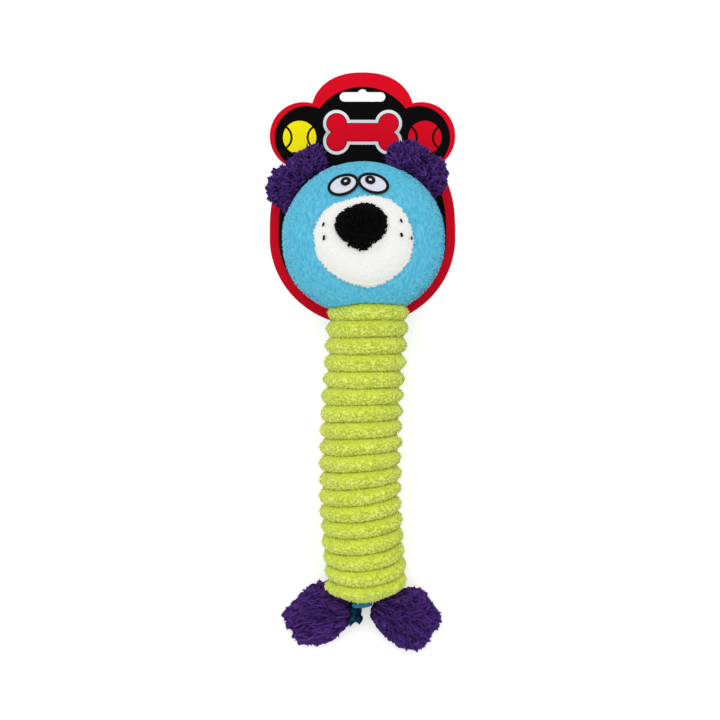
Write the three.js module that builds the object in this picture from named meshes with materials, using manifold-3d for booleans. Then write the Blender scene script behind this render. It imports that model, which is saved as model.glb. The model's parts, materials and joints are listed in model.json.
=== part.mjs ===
// A plush squeaky toy for dogs, lying on its back: a round stuffed head with a muzzle, embroidered eyes and
// shaggy ears, a long ribbed tube for a body, two shaggy feet, and the printed hang card that is pinned
// behind the head. Millimetres, +Z up, +Y from the feet to the head, +X to the right of the face.
import * as THREE from "three";
import { mergeVertices } from "three/addons/utils/BufferGeometryUtils.js";
import Module from "manifold-3d";

const wasm = await Module();
wasm.setup();

// Clearances and cutting tools
const GAP = 0.3; // between two soft pieces that lie against each other
const CUT_REACH = 1000; // how far a cutting block runs past what it cuts
const FLAT_DEPTH = 0.5; // how deep a soft form is flattened where it rests

// Hang card and the plastic pin that holds it
const CARD_THICKNESS = 0.8;
const CARD_HALF_WIDTH = 65.1;
const CARD_OVAL_UP = 64.4;
const CARD_OVAL_DOWN = 61.6;
const CARD_OVAL_UPPER_POWER = 2.9;
const CARD_OVAL_LOWER_POWER = 2;
const CARD_TOP_LOBE_HALF_WIDTH = 36.5;
const CARD_TOP_LOBE_HALF_HEIGHT = 32.2;
const CARD_TOP_LOBE_POWER = 2.3;
const CARD_TOP_LOBE_Y = 84;
const CARD_SIDE_LOBE_RADIUS = 23.8;
const CARD_SIDE_LOBE_Y = 70.7;
const HANG_SLOT_WIDTH = 32;
const HANG_SLOT_HEIGHT = 6.6;
const HANG_SLOT_BUMP_RADIUS = 3.4;
const HANG_SLOT_BUMP_RISE = 2.1;
const HANG_SLOT_Y = 99;
const PIN_KNOB_RADIUS = 3;
const PIN_KNOB_THICKNESS = 0.8;
const PIN_SHAFT_RADIUS = 0.6;
const PIN_HOLE_RADIUS = 1.5;
const PIN_BAR_LENGTH = 10;
const PIN_BAR_RADIUS = 0.9;

// Head
const HEAD_HALF_WIDTH = 56.4;
const HEAD_UP = 53;
const HEAD_DOWN = 54;
const HEAD_UPPER_POWER = 2;
const HEAD_LOWER_POWER = 2.2;
const HEAD_HALF_DEPTH = 42;
const HEAD_FULLNESS_POWER = 2.6;
const HEAD_X = 0.7;
const PLUSH_WALL = 2;
const NECK_BELOW_HEAD = 46.6; // from the head's centre down to the seam of the body
const NECK_REACH = 12; // how far the stuffing's stem runs up into the head

// Muzzle and nose
const MUZZLE_HALF_WIDTH = 36.6;
const MUZZLE_HALF_HEIGHT = 33.4;
const MUZZLE_X = 0.7;
const MUZZLE_BELOW_TOP = 56.1; // from the head's top down to the muzzle's middle
const MUZZLE_RISE = 13;
const MUZZLE_SINK = 10; // how far below the head's front its widest ring lies
const MUZZLE_FULLNESS_POWER = 2.5;
const MUZZLE_POWER = 2.15;
const NOSE_HALF_WIDTH = 17.6;
const NOSE_HALF_HEIGHT = 16.6;
const NOSE_X = -1.1;
const NOSE_ABOVE_MUZZLE = 9.4; // from middle to middle
const NOSE_RISE = 6.5;
const NOSE_SINK = 5;
const NOSE_FULLNESS_POWER = 2.4;

// Embroidered eyes, each placed from the head's middle line and below the head's top
const EYE_THICKNESS = 0.8;
const EYE_OUTLINE_WIDTH = 1.6;
const PUPIL_THICKNESS = 0.6;
const LEFT_EYE = { x: -13.3, belowTop: 16.8, halfWidth: 10.9, halfHeight: 7, tilt: 19 };
const LEFT_PUPIL = { x: -11.5, belowTop: 14.6, halfWidth: 3.2, halfHeight: 2.5, tilt: 19 };
const RIGHT_EYE = { x: 7.4, belowTop: 15.8, halfWidth: 10.9, halfHeight: 6.8, tilt: -16 };
const RIGHT_PUPIL = { x: 5.3, belowTop: 13.6, halfWidth: 3.2, halfHeight: 2.4, tilt: -16 };

// Ears: each is a two-layer flap sewn into the head's side seam. Angles are those of the way it points.
const SEAM_BEAD_RADIUS = 1.6;
const EAR_HALF_WIDTH = 23;
const EAR_LENGTH = 18;
const EAR_HALF_THICKNESS = 4.5;
const EAR_BEAD_HALF_LENGTH = 14;
const EAR_TIP_POWER = 2.7;
const EAR_ROOT_POWER = 2.4;
const EAR_DROOP_ANGLE = 12;
const LEFT_EAR_ANGLE = 137;
const RIGHT_EAR_ANGLE = 52.5;

// Ribbed tube body
const RIB_COUNT = 17;
const RIB_PITCH = 11.2;
const RIB_SAG = 3.6; // how much lower the middle ribs lie than evenly spaced ones
const RIB_CREST_RADIUS = 28.9;
const RIB_GROOVE_RADIUS = 24.9;
const RIB_CREST_POWER = 0.75; // below 1 gives full ribs with narrow grooves
const SLEEVE_BORE_RADIUS = 23;
const FLEX_ANGLE = 20; // how far each flexing rib bends, in degrees
const BODY_X = 4.2;
const BODY_DRIFT = 1.7; // how much further left the body ends than it starts
const BODY_LEAN_LOSS = 0.3; // what the lean of the lowest rib takes off its reach downwards
const BODY_BOW = 4.6; // sideways bow of the centre line, at its middle
const BODY_SWAY = 0.9; // sideways sway of the centre line, right in its upper half and left in its lower
const FLEX_RIBS = { neck: 0, one: 3, two: 6, three: 10, four: 13 };
const END_RIB_LENGTH = 18.3;
const BASE_DISC_THICKNESS = 2.5;
// The closing rib, as shares of the crest radius and of the closing rib's length
const END_CREST_SHARE = 0.31;
const END_RIB_SHARES = [
  [1, 0.16],
  [1, END_CREST_SHARE],
  [0.95, 0.5],
  [0.82, 0.68],
  [0.61, 0.85],
  [0.5, 1],
];

// Squeaker
const SQUEAKER_RADIUS = 15.5;
const SQUEAKER_HALF_HEIGHT = 10;
const SQUEAKER_PLATE = 2;
const SQUEAKER_WALL = 1;
const SQUEAKER_FOLDS = 3;
const SQUEAKER_FOLD_DEPTH = 2.2;
const REED_RADIUS = 4;
const REED_BORE_RADIUS = 2.4;
const REED_LENGTH = 6;

// Feet: two-layer stuffed pads that hang from the base
const FOOT_HALF_WIDTH = 19.5;
const FOOT_LENGTH = 47;
const FOOT_HALF_THICKNESS = 8.6;
const FOOT_BEAD_HALF_LENGTH = 4.6;
const FOOT_TIP_POWER = 2.4;
const FOOT_ROOT_POWER = 1.3; // below 2 draws the root in, so that the foot folds clear of the base
// Where each foot is sewn to the base, from the base's middle, and the way that it points
const LEFT_FOOT = { across: -10, below: 8, angle: 197 };
const RIGHT_FOOT = { across: 6, below: 8, angle: 333 };

// How finely each form is faceted
const TUBE_SIDES = 24;
const RIB_STEPS = 4;
const HEAD_FACETS = { sideCount: 32, ringCount: 16 };
const INNER_FACETS = { sideCount: 20, ringCount: 10 };
const MUZZLE_FACETS = { sideCount: 28, ringCount: 12 };
const SMALL_FACETS = { sideCount: 20, ringCount: 10 };
const FLAP_FACETS = { sideCount: 24, ringCount: 8 };
const CARD_POINTS = 52;
const EYE_POINTS = 28;
const ROUND_SIDES = 20;
const BEAD_SIDES = 10;

// Heights that follow from what rests on what
const CARD_BACK_Z = PIN_KNOB_THICKNESS + GAP;
const CARD_FRONT_Z = CARD_BACK_Z + CARD_THICKNESS;
const HEAD_REST_Z = CARD_FRONT_Z + GAP;
const HEAD_Z = HEAD_REST_Z - FLAT_DEPTH + HEAD_HALF_DEPTH;
const NECK_Y = -NECK_BELOW_HEAD;
const MUZZLE_Y = HEAD_UP - MUZZLE_BELOW_TOP;
const BODY_LENGTH = RIB_COUNT * RIB_PITCH;
// The tube sinks from the neck to where the closing rib's crest lies FLAT_DEPTH deep in the surface.
const LAST_CREST = END_RIB_LENGTH * END_CREST_SHARE;
const LAST_CREST_Z = RIB_CREST_RADIUS - BODY_LEAN_LOSS - FLAT_DEPTH;
const BODY_DROP = (HEAD_Z - LAST_CREST_Z) / (1 + (2 * LAST_CREST) / BODY_LENGTH);
const BASE_START = BODY_LENGTH + END_RIB_LENGTH + GAP;

const MATERIALS = {
  blue_plush: { color: 0x49b3d8, roughness: 0.95 },
  white_plush: { color: 0xf1f0ea, roughness: 0.95 },
  black_fleece: { color: 0x0b0b0c, roughness: 0.95 },
  purple_fleece: { color: 0x4a2a86, roughness: 0.95 },
  green_plush: { color: 0xb9d033, roughness: 0.95 },
  base_fabric: { color: 0x1a7fb5, roughness: 0.9 },
  eye_thread: { color: 0xdfe0ee, roughness: 0.6 },
  black_thread: { color: 0x101010, roughness: 0.6 },
  filling: { color: 0xf4f4f0, roughness: 1 },
  card: { color: 0xd9001f, roughness: 0.45 },
  clear_plastic: { color: 0xe8eef0, roughness: 0.2 },
  squeaker_plastic: { color: 0xf0efe6, roughness: 0.4 },
};

// Solids

function solidOf(geometry) {
  const plain = geometry.index ? geometry.toNonIndexed() : geometry.clone();
  plain.deleteAttribute("normal");
  plain.deleteAttribute("uv");
  const merged = mergeVertices(plain);
  return new wasm.Manifold(
    new wasm.Mesh({
      numProp: 3,
      vertProperties: merged.attributes.position.array,
      triVerts: new Uint32Array(merged.index.array),
    }),
  );
}

function geometryOf(solid) {
  const mesh = solid.getMesh();
  const geometry = new THREE.BufferGeometry();
  geometry.setAttribute("position", new THREE.BufferAttribute(mesh.vertProperties, 3));
  geometry.setIndex(new THREE.BufferAttribute(mesh.triVerts, 1));
  geometry.computeVertexNormals();
  return geometry;
}

function signedPower(value, power) {
  return Math.sign(value) * Math.abs(value) ** (2 / power);
}

// A stuffed form: a rounded outline in X and Y that swells to the front and to the back in Z.
function swelledForm(form, facets) {
  const { halfWidth, up, down, upperPower, lowerPower, front, back, fullness } = form;
  const grow = form.grow ?? 0;
  const positions = [];
  const index = [];
  for (let ring = 1; ring < facets.ringCount; ring++) {
    const v = -Math.PI / 2 + (Math.PI * ring) / facets.ringCount;
    const reach = Math.cos(v) ** (2 / fullness);
    const depth = (Math.sin(v) > 0 ? front : back) + grow;
    for (let side = 0; side < facets.sideCount; side++) {
      const u = (2 * Math.PI * side) / facets.sideCount;
      const rising = Math.sin(u) >= 0;
      const power = rising ? upperPower : lowerPower;
      positions.push(
        (halfWidth + grow) * signedPower(Math.cos(u), power) * reach,
        ((rising ? up : down) + grow) * signedPower(Math.sin(u), power) * reach,
        depth * signedPower(Math.sin(v), fullness),
      );
    }
  }
  const backPole = positions.length / 3;
  positions.push(0, 0, -back - grow, 0, 0, front + grow);
  const frontPole = backPole + 1;
  const lastRing = (facets.ringCount - 2) * facets.sideCount;
  for (let side = 0; side < facets.sideCount; side++) {
    const next = (side + 1) % facets.sideCount;
    index.push(backPole, next, side, frontPole, lastRing + side, lastRing + next);
    for (let base = 0; base < lastRing; base += facets.sideCount) {
      const above = base + facets.sideCount;
      index.push(base + side, base + next, above + next, base + side, above + next, above + side);
    }
  }
  const geometry = new THREE.BufferGeometry();
  geometry.setAttribute("position", new THREE.Float32BufferAttribute(positions, 3));
  geometry.setIndex(index);
  return solidOf(geometry);
}

function outlineOf(halfWidth, up, down, upperPower, lowerPower, points) {
  const shape = new THREE.Shape();
  for (let i = 0; i < points; i++) {
    const u = (2 * Math.PI * i) / points;
    const rising = Math.sin(u) >= 0;
    const power = rising ? upperPower : lowerPower;
    const x = halfWidth * signedPower(Math.cos(u), power);
    const y = (rising ? up : down) * signedPower(Math.sin(u), power);
    if (i === 0) shape.moveTo(x, y);
    else shape.lineTo(x, y);
  }
  shape.closePath();
  return shape;
}

function prismOf(shape, depth) {
  const options = { depth, bevelEnabled: false, curveSegments: BEAD_SIDES };
  return solidOf(new THREE.ExtrudeGeometry(shape, options));
}

function discOf(radius, depth, sides = ROUND_SIDES) {
  const geometry = new THREE.CylinderGeometry(radius, radius, depth, sides);
  geometry.rotateX(Math.PI / 2);
  return solidOf(geometry).translate([0, 0, depth / 2]);
}

// A block that fills one side of a plane, to cut a solid down to the other side
function blockBeyond(axis, at, side) {
  const box = solidOf(new THREE.BoxGeometry(CUT_REACH, CUT_REACH, CUT_REACH));
  const shift = [0, 0, 0];
  shift["xyz".indexOf(axis)] = at + (side * CUT_REACH) / 2;
  return box.translate(shift);
}

// Body centre line

function bodyCentre(along) {
  const inside = Math.min(Math.max(along, 0), BODY_LENGTH);
  const share = inside / BODY_LENGTH;
  const slope = bodySlope(share);
  const beyond = along - inside;
  const sideways = BODY_SWAY * Math.sin(2 * Math.PI * share) - BODY_BOW * Math.sin(Math.PI * share);
  return new THREE.Vector3(
    BODY_X - BODY_DRIFT * share + sideways + slope.x * beyond,
    NECK_Y - along,
    HEAD_Z - BODY_DROP * share ** 2 + slope.z * beyond,
  );
}

function bodySlope(share) {
  const sway = 2 * BODY_SWAY * Math.PI * Math.cos(2 * Math.PI * share);
  const bow = BODY_BOW * Math.PI * Math.cos(Math.PI * share);
  return {
    x: (sway - bow - BODY_DRIFT) / BODY_LENGTH,
    z: (-2 * BODY_DROP * share) / BODY_LENGTH,
  };
}

function bodyFrame(along) {
  const share = Math.min(Math.max(along / BODY_LENGTH, 0), 1);
  const slope = bodySlope(share);
  const forward = new THREE.Vector3(slope.x, -1, slope.z).normalize();
  const side = new THREE.Vector3(0, 0, 1).cross(forward).normalize();
  const up = new THREE.Vector3().crossVectors(forward, side);
  return { centre: bodyCentre(along), forward, side, up };
}

// Where a rib starts, or a place part of the way through it, along the body
function ribPlace(rib) {
  return rib * RIB_PITCH + RIB_SAG * Math.sin((Math.PI * rib) / RIB_COUNT);
}

// Turns a profile of [place along the body, radius] round the body's centre line. A profile that starts and
// ends on the axis makes a plug, and any other is closed on itself and makes a sleeve.
function turnedAlongBody(profile) {
  const positions = [];
  const rings = [];
  for (const [along, radius] of profile) {
    const { centre, side, up } = bodyFrame(along);
    const ring = [];
    const count = radius > 0 ? TUBE_SIDES : 1;
    for (let i = 0; i < count; i++) {
      const angle = (2 * Math.PI * i) / TUBE_SIDES;
      const point = centre
        .clone()
        .addScaledVector(side, radius * Math.cos(angle))
        .addScaledVector(up, radius * Math.sin(angle));
      ring.push(positions.length / 3);
      positions.push(point.x, point.y, point.z);
    }
    rings.push(ring);
  }
  const plug = rings[0].length === 1;
  const index = [];
  const spans = plug ? rings.length - 1 : rings.length;
  for (let span = 0; span < spans; span++) {
    const here = rings[span];
    const there = rings[(span + 1) % rings.length];
    for (let i = 0; i < TUBE_SIDES; i++) {
      const next = (i + 1) % TUBE_SIDES;
      const a = here[i % here.length];
      const b = here[next % here.length];
      const c = there[next % there.length];
      const d = there[i % there.length];
      if (a !== b) index.push(a, b, c);
      if (c !== d) index.push(a, c, d);
    }
  }
  const geometry = new THREE.BufferGeometry();
  geometry.setAttribute("position", new THREE.Float32BufferAttribute(positions, 3));
  geometry.setIndex(index);
  return solidOf(geometry);
}

// A block that fills one side of the plane square to the body at the given place
function blockAlongBody(along, side) {
  const { centre, forward, side: across, up } = bodyFrame(along);
  const box = new THREE.BoxGeometry(CUT_REACH, CUT_REACH, CUT_REACH);
  box.translate(0, (side * CUT_REACH) / 2, 0);
  box.applyMatrix4(new THREE.Matrix4().makeBasis(up, forward, across).setPosition(centre));
  return solidOf(box);
}

function ribProfile(firstRib, ribs) {
  const depth = RIB_CREST_RADIUS - RIB_GROOVE_RADIUS;
  const points = [];
  for (let rib = firstRib; rib < firstRib + ribs; rib++) {
    for (let step = 0; step < RIB_STEPS; step++) {
      const share = (1 - Math.cos((Math.PI * step) / RIB_STEPS)) / 2;
      const swell = Math.sin(Math.PI * share) ** RIB_CREST_POWER;
      points.push([ribPlace(rib + share), RIB_GROOVE_RADIUS + depth * swell]);
    }
  }
  return points;
}

// A sleeve of whole ribs, open at both ends. The two ends give way by half a gap each.
function ribbedSleeve(firstRib, ribs) {
  const start = ribPlace(firstRib) + GAP / 2;
  const end = ribPlace(firstRib + ribs) - GAP / 2;
  const outside = ribProfile(firstRib, ribs);
  outside[0][0] = start;
  outside.push([end, RIB_GROOVE_RADIUS]);
  return turnedAlongBody([...outside, [end, SLEEVE_BORE_RADIUS], [start, SLEEVE_BORE_RADIUS]]);
}

function endSleeve(firstRib) {
  const start = ribPlace(firstRib) + GAP / 2;
  const outside = ribProfile(firstRib, RIB_COUNT - firstRib);
  outside[0][0] = start;
  outside.push([BODY_LENGTH, RIB_GROOVE_RADIUS]);
  for (const [radiusShare, lengthShare] of END_RIB_SHARES)
    outside.push([BODY_LENGTH + END_RIB_LENGTH * lengthShare, RIB_CREST_RADIUS * radiusShare]);
  const inside = [...END_RIB_SHARES]
    .reverse()
    .map(([radiusShare, lengthShare]) => [
      BODY_LENGTH + END_RIB_LENGTH * lengthShare,
      Math.min(SLEEVE_BORE_RADIUS, RIB_CREST_RADIUS * radiusShare - PLUSH_WALL),
    ]);
  const sleeve = turnedAlongBody([...outside, ...inside, [start, SLEEVE_BORE_RADIUS]]);
  return sleeve.subtract(blockBeyond("z", 0, -1));
}

// The stuffing of one stiff stretch. Its ends are cones that meet the next stretch at the middle of a
// flexing rib, and slope back far enough for that rib to bend.
function stuffingPlug(firstRib, ribs) {
  const radius = SLEEVE_BORE_RADIUS - GAP;
  const coneLength = radius * Math.tan(THREE.MathUtils.degToRad(FLEX_ANGLE / 2));
  const start = ribPlace(firstRib - 0.5) + GAP / 2;
  const end = ribPlace(firstRib + ribs + 0.5) - GAP / 2;
  return turnedAlongBody([
    [start, 0],
    [start + coneLength, radius],
    [end - coneLength, radius],
    [end, 0],
  ]);
}

function endStuffing(firstRib) {
  const radius = SLEEVE_BORE_RADIUS - GAP;
  const coneLength = radius * Math.tan(THREE.MathUtils.degToRad(FLEX_ANGLE / 2));
  const start = ribPlace(firstRib - 0.5) + GAP / 2;
  const inside = END_RIB_SHARES.map(([radiusShare, lengthShare]) => [
    BODY_LENGTH + END_RIB_LENGTH * lengthShare - GAP,
    Math.min(SLEEVE_BORE_RADIUS, RIB_CREST_RADIUS * radiusShare - PLUSH_WALL) - GAP,
  ]);
  const end = inside[inside.length - 1][0];
  return turnedAlongBody([[start, 0], [start + coneLength, radius], ...inside, [end, 0]]);
}

// Head forms

function headForm(grow, facets) {
  return swelledForm(
    {
      halfWidth: HEAD_HALF_WIDTH,
      up: HEAD_UP,
      down: HEAD_DOWN,
      upperPower: HEAD_UPPER_POWER,
      lowerPower: HEAD_LOWER_POWER,
      front: HEAD_HALF_DEPTH,
      back: HEAD_HALF_DEPTH,
      fullness: HEAD_FULLNESS_POWER,
      grow,
    },
    facets,
  ).translate([HEAD_X, 0, HEAD_Z]);
}

const HEAD_FRONT_Z = HEAD_Z + HEAD_HALF_DEPTH;

function muzzleForm(grow, facets) {
  return swelledForm(
    {
      halfWidth: MUZZLE_HALF_WIDTH,
      up: MUZZLE_HALF_HEIGHT,
      down: MUZZLE_HALF_HEIGHT,
      upperPower: MUZZLE_POWER,
      lowerPower: MUZZLE_POWER,
      front: MUZZLE_RISE + MUZZLE_SINK,
      back: MUZZLE_SINK,
      fullness: MUZZLE_FULLNESS_POWER,
      grow,
    },
    facets,
  ).translate([MUZZLE_X, MUZZLE_Y, HEAD_FRONT_Z - MUZZLE_SINK]);
}

function noseForm() {
  const widestZ = HEAD_FRONT_Z + MUZZLE_RISE - NOSE_SINK;
  return swelledForm(
    {
      halfWidth: NOSE_HALF_WIDTH,
      up: NOSE_HALF_HEIGHT,
      down: NOSE_HALF_HEIGHT,
      upperPower: 2,
      lowerPower: 2,
      front: NOSE_RISE + NOSE_SINK,
      back: NOSE_SINK,
      fullness: NOSE_FULLNESS_POWER,
    },
    SMALL_FACETS,
  ).translate([NOSE_X, MUZZLE_Y + NOSE_ABOVE_MUZZLE, widestZ]);
}

const headOuter = headForm(0, HEAD_FACETS);
const headKeepOut = headForm(GAP, HEAD_FACETS);

// The pin's length runs from its knob behind the card to the bar inside the head.
function cardPin(grow) {
  const barZ = HEAD_REST_Z + PLUSH_WALL + GAP + PIN_BAR_RADIUS;
  const knob = discOf(PIN_KNOB_RADIUS, PIN_KNOB_THICKNESS);
  const shaft = discOf(PIN_SHAFT_RADIUS + grow, barZ, BEAD_SIDES);
  const barGeometry = new THREE.CylinderGeometry(
    PIN_BAR_RADIUS + grow,
    PIN_BAR_RADIUS + grow,
    PIN_BAR_LENGTH + 2 * grow,
    BEAD_SIDES,
  );
  barGeometry.rotateZ(Math.PI / 2);
  return knob.add(shaft).add(solidOf(barGeometry).translate([0, 0, barZ]));
}

// The plush skin of the head, flat where it lies on the card and drawn in to a round opening at the neck
function headShell() {
  const neckOpening = turnedAlongBody([
    [-NECK_REACH, 0],
    [-NECK_REACH, SLEEVE_BORE_RADIUS],
    [NECK_REACH, SLEEVE_BORE_RADIUS],
    [NECK_REACH, 0],
  ]);
  const hollow = headForm(-PLUSH_WALL, INNER_FACETS).subtract(blockAlongBody(-PLUSH_WALL - GAP / 2, 1));
  return headOuter
    .subtract(blockAlongBody(-GAP / 2, 1))
    .subtract(blockBeyond("z", HEAD_REST_Z, -1))
    .subtract(hollow)
    .subtract(neckOpening);
}

// The head's stuffing, with a stem that fills half of the neck's flexing rib
function headFilling() {
  const radius = SLEEVE_BORE_RADIUS - GAP;
  const stemEnd = ribPlace(0.5) - GAP / 2;
  const stem = turnedAlongBody([
    [-NECK_REACH, 0],
    [-NECK_REACH, radius],
    [stemEnd - radius * Math.tan(THREE.MathUtils.degToRad(FLEX_ANGLE / 2)), radius],
    [stemEnd, 0],
  ]);
  return headForm(-PLUSH_WALL - GAP, INNER_FACETS)
    .subtract(blockAlongBody(-PLUSH_WALL - GAP - GAP / 2, 1))
    .add(stem)
    .subtract(cardPin(GAP));
}

function eyePrism(eye, inset) {
  const shape = outlineOf(
    eye.halfWidth - inset,
    eye.halfHeight - inset,
    eye.halfHeight - inset,
    2,
    2,
    EYE_POINTS,
  );
  return prismOf(shape, HEAD_HALF_DEPTH + EYE_THICKNESS + PUPIL_THICKNESS + 2 * GAP)
    .rotate([0, 0, eye.tilt])
    .translate([eye.x, HEAD_UP - eye.belowTop, HEAD_Z]);
}

const muzzleKeepOut = muzzleForm(GAP, MUZZLE_FACETS);
const eyeBed = headForm(GAP, HEAD_FACETS);
const eyeTop = headForm(GAP + EYE_THICKNESS, HEAD_FACETS);
const pupilBed = headForm(2 * GAP + EYE_THICKNESS, HEAD_FACETS);
const pupilTop = headForm(2 * GAP + EYE_THICKNESS + PUPIL_THICKNESS, HEAD_FACETS);

function eyeParts(eye, pupil, neighbour) {
  const patch = eyeTop.subtract(eyeBed).subtract(muzzleKeepOut);
  const outline = eyePrism(eye, 0).subtract(eyePrism(eye, EYE_OUTLINE_WIDTH));
  const clear = neighbour ? outline.subtract(eyePrism(neighbour, -GAP)) : outline;
  return {
    outline: patch.intersect(clear),
    white: patch.intersect(eyePrism(eye, EYE_OUTLINE_WIDTH + GAP / 2)),
    pupil: pupilTop.subtract(pupilBed).intersect(eyePrism(pupil, 0)),
  };
}

// Flaps: ears and feet. A flap lies in X and Y, points along +Y, and turns about the X axis at its sewn
// edge.

function flapForm(flap) {
  const half = flap.length / 2;
  const pad = swelledForm(
    {
      halfWidth: flap.halfWidth,
      up: half,
      down: half,
      upperPower: flap.tipPower,
      lowerPower: flap.rootPower,
      front: flap.halfThickness,
      back: flap.halfThickness,
      fullness: 2,
    },
    FLAP_FACETS,
  ).translate([0, half, 0]);
  const bead = new THREE.CylinderGeometry(
    SEAM_BEAD_RADIUS,
    SEAM_BEAD_RADIUS,
    2 * flap.beadHalfLength,
    BEAD_SIDES,
  );
  bead.rotateZ(Math.PI / 2);
  return pad.add(solidOf(bead));
}

function flapLayers(flap) {
  const form = flapForm(flap);
  return {
    upper: form.subtract(blockBeyond("z", GAP / 2, -1)),
    lower: form.subtract(blockBeyond("z", -GAP / 2, 1)),
  };
}

const ear = {
  halfWidth: EAR_HALF_WIDTH,
  length: EAR_LENGTH,
  halfThickness: EAR_HALF_THICKNESS,
  beadHalfLength: EAR_BEAD_HALF_LENGTH,
  tipPower: EAR_TIP_POWER,
  rootPower: EAR_ROOT_POWER,
};

const foot = {
  halfWidth: FOOT_HALF_WIDTH,
  length: FOOT_LENGTH,
  halfThickness: FOOT_HALF_THICKNESS,
  beadHalfLength: FOOT_BEAD_HALF_LENGTH,
  tipPower: FOOT_TIP_POWER,
  rootPower: FOOT_ROOT_POWER,
};

// Where the head's side seam faces the given way, set off so that the sewn bead just clears the plush
function earHinge(angle) {
  const way = THREE.MathUtils.degToRad(angle);
  const [nx, ny] = [Math.cos(way), Math.sin(way)];
  const scale = Math.hypot(HEAD_HALF_WIDTH * nx, HEAD_UP * ny);
  const off = SEAM_BEAD_RADIUS + GAP;
  return [
    HEAD_X + (HEAD_HALF_WIDTH ** 2 * nx) / scale + off * nx,
    (HEAD_UP ** 2 * ny) / scale + off * ny,
    HEAD_Z,
  ];
}

// A foot's sewn bead lies across the way that the foot points, with its inner end just clear of the base.
function footHinge(place) {
  const base = bodyFrame(BASE_START + BASE_DISC_THICKNESS);
  const way = THREE.MathUtils.degToRad(place.angle);
  const bead = SEAM_BEAD_RADIUS * Math.abs(Math.sin(way)) + FOOT_BEAD_HALF_LENGTH * Math.abs(Math.cos(way));
  return base.centre
    .clone()
    .addScaledVector(base.side, place.across)
    .addScaledVector(base.up, -place.below)
    .addScaledVector(base.forward, GAP + bead)
    .toArray();
}

// How far a foot droops from its sewn edge, in degrees, to lie FLAT_DEPTH deep in the surface below
function footDroop(hinge) {
  const half = FOOT_LENGTH / 2;
  const height = hinge[2] + FLAT_DEPTH;
  const thick = FOOT_HALF_THICKNESS ** 2;
  const reach = height * half;
  const sine = (reach - Math.sqrt(reach ** 2 - thick * (height ** 2 - thick))) / thick;
  return THREE.MathUtils.radToDeg(Math.asin(sine));
}

// Assembly

const toy = new THREE.Group();
const materials = {};
for (const [name, look] of Object.entries(MATERIALS))
  materials[name] = new THREE.MeshStandardMaterial({ metalness: 0, ...look });

function place(name, solid, material, parent = toy) {
  const mesh = new THREE.Mesh(geometryOf(solid), materials[material]);
  mesh.name = name;
  parent.add(mesh);
  return mesh;
}

function placeFlap(name, flap, hinge, angle, droop, layerNames, floorCut) {
  const turned = new THREE.Group();
  turned.position.set(...hinge);
  turned.rotation.set(0, 0, THREE.MathUtils.degToRad(angle) - Math.PI / 2);
  const drooped = new THREE.Group();
  drooped.rotation.set(-THREE.MathUtils.degToRad(droop), 0, 0);
  turned.add(drooped);
  toy.add(turned);
  turned.updateMatrixWorld(true);
  const toFlap = drooped.matrixWorld.clone().invert();
  const layers = flapLayers(flap);
  for (const layer of ["upper", "lower"]) {
    let solid = layers[layer];
    if (floorCut) solid = solid.subtract(blockBeyond("z", 0, -1).transform(toFlap.elements));
    place(`${name}_${layerNames[layer]}`, solid, "purple_fleece", drooped);
  }
}

function makeHead() {
  const shell = headShell();
  const pinPath = cardPin(GAP);
  const upperHalf = blockBeyond("z", HEAD_Z + GAP / 2, 1);
  const lowerHalf = blockBeyond("z", HEAD_Z - GAP / 2, -1);
  place("head_front_panel", shell.intersect(upperHalf), "blue_plush");
  place("head_back_panel", shell.intersect(lowerHalf).subtract(pinPath), "blue_plush");
  place("head_filling", headFilling(), "filling");
  const muzzle = muzzleForm(0, MUZZLE_FACETS).subtract(headKeepOut);
  const muzzleInner = muzzleForm(-PLUSH_WALL, SMALL_FACETS);
  place("muzzle_cover", muzzle.subtract(muzzleInner), "white_plush");
  const muzzleFill = muzzleForm(-PLUSH_WALL - GAP, SMALL_FACETS).subtract(headKeepOut);
  place("muzzle_filling", muzzleFill, "filling");
  place("nose", noseForm().subtract(muzzleKeepOut), "black_fleece");
  const leftEye = eyeParts(LEFT_EYE, LEFT_PUPIL, null);
  const rightEye = eyeParts(RIGHT_EYE, RIGHT_PUPIL, LEFT_EYE);
  for (const [side, parts] of [["left", leftEye], ["right", rightEye]]) {
    place(`${side}_eye_outline`, parts.outline, "black_thread");
    place(`${side}_eye_white`, parts.white, "eye_thread");
    place(`${side}_eye_pupil`, parts.pupil, "black_thread");
  }
  place("card_pin", cardPin(0), "clear_plastic");
}

function makeEars() {
  const layerNames = { upper: "front", lower: "back" };
  for (const [name, angle] of [["left_ear", LEFT_EAR_ANGLE], ["right_ear", RIGHT_EAR_ANGLE]])
    placeFlap(name, ear, earHinge(angle), angle, EAR_DROOP_ANGLE, layerNames, false);
}

function hangSlot() {
  const half = HANG_SLOT_WIDTH / 2;
  const end = HANG_SLOT_HEIGHT / 2;
  const slot = new THREE.Shape();
  slot.moveTo(end - half, -end);
  slot.lineTo(half - end, -end);
  slot.absarc(half - end, 0, end, -Math.PI / 2, Math.PI / 2);
  slot.lineTo(end - half, end);
  slot.absarc(end - half, 0, end, Math.PI / 2, (3 * Math.PI) / 2);
  const bump = discOf(HANG_SLOT_BUMP_RADIUS, CARD_THICKNESS + 2 * GAP);
  return prismOf(slot, CARD_THICKNESS + 2 * GAP)
    .add(bump.translate([0, end + HANG_SLOT_BUMP_RISE - HANG_SLOT_BUMP_RADIUS, 0]))
    .translate([0, HANG_SLOT_Y, CARD_BACK_Z - GAP]);
}

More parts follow.
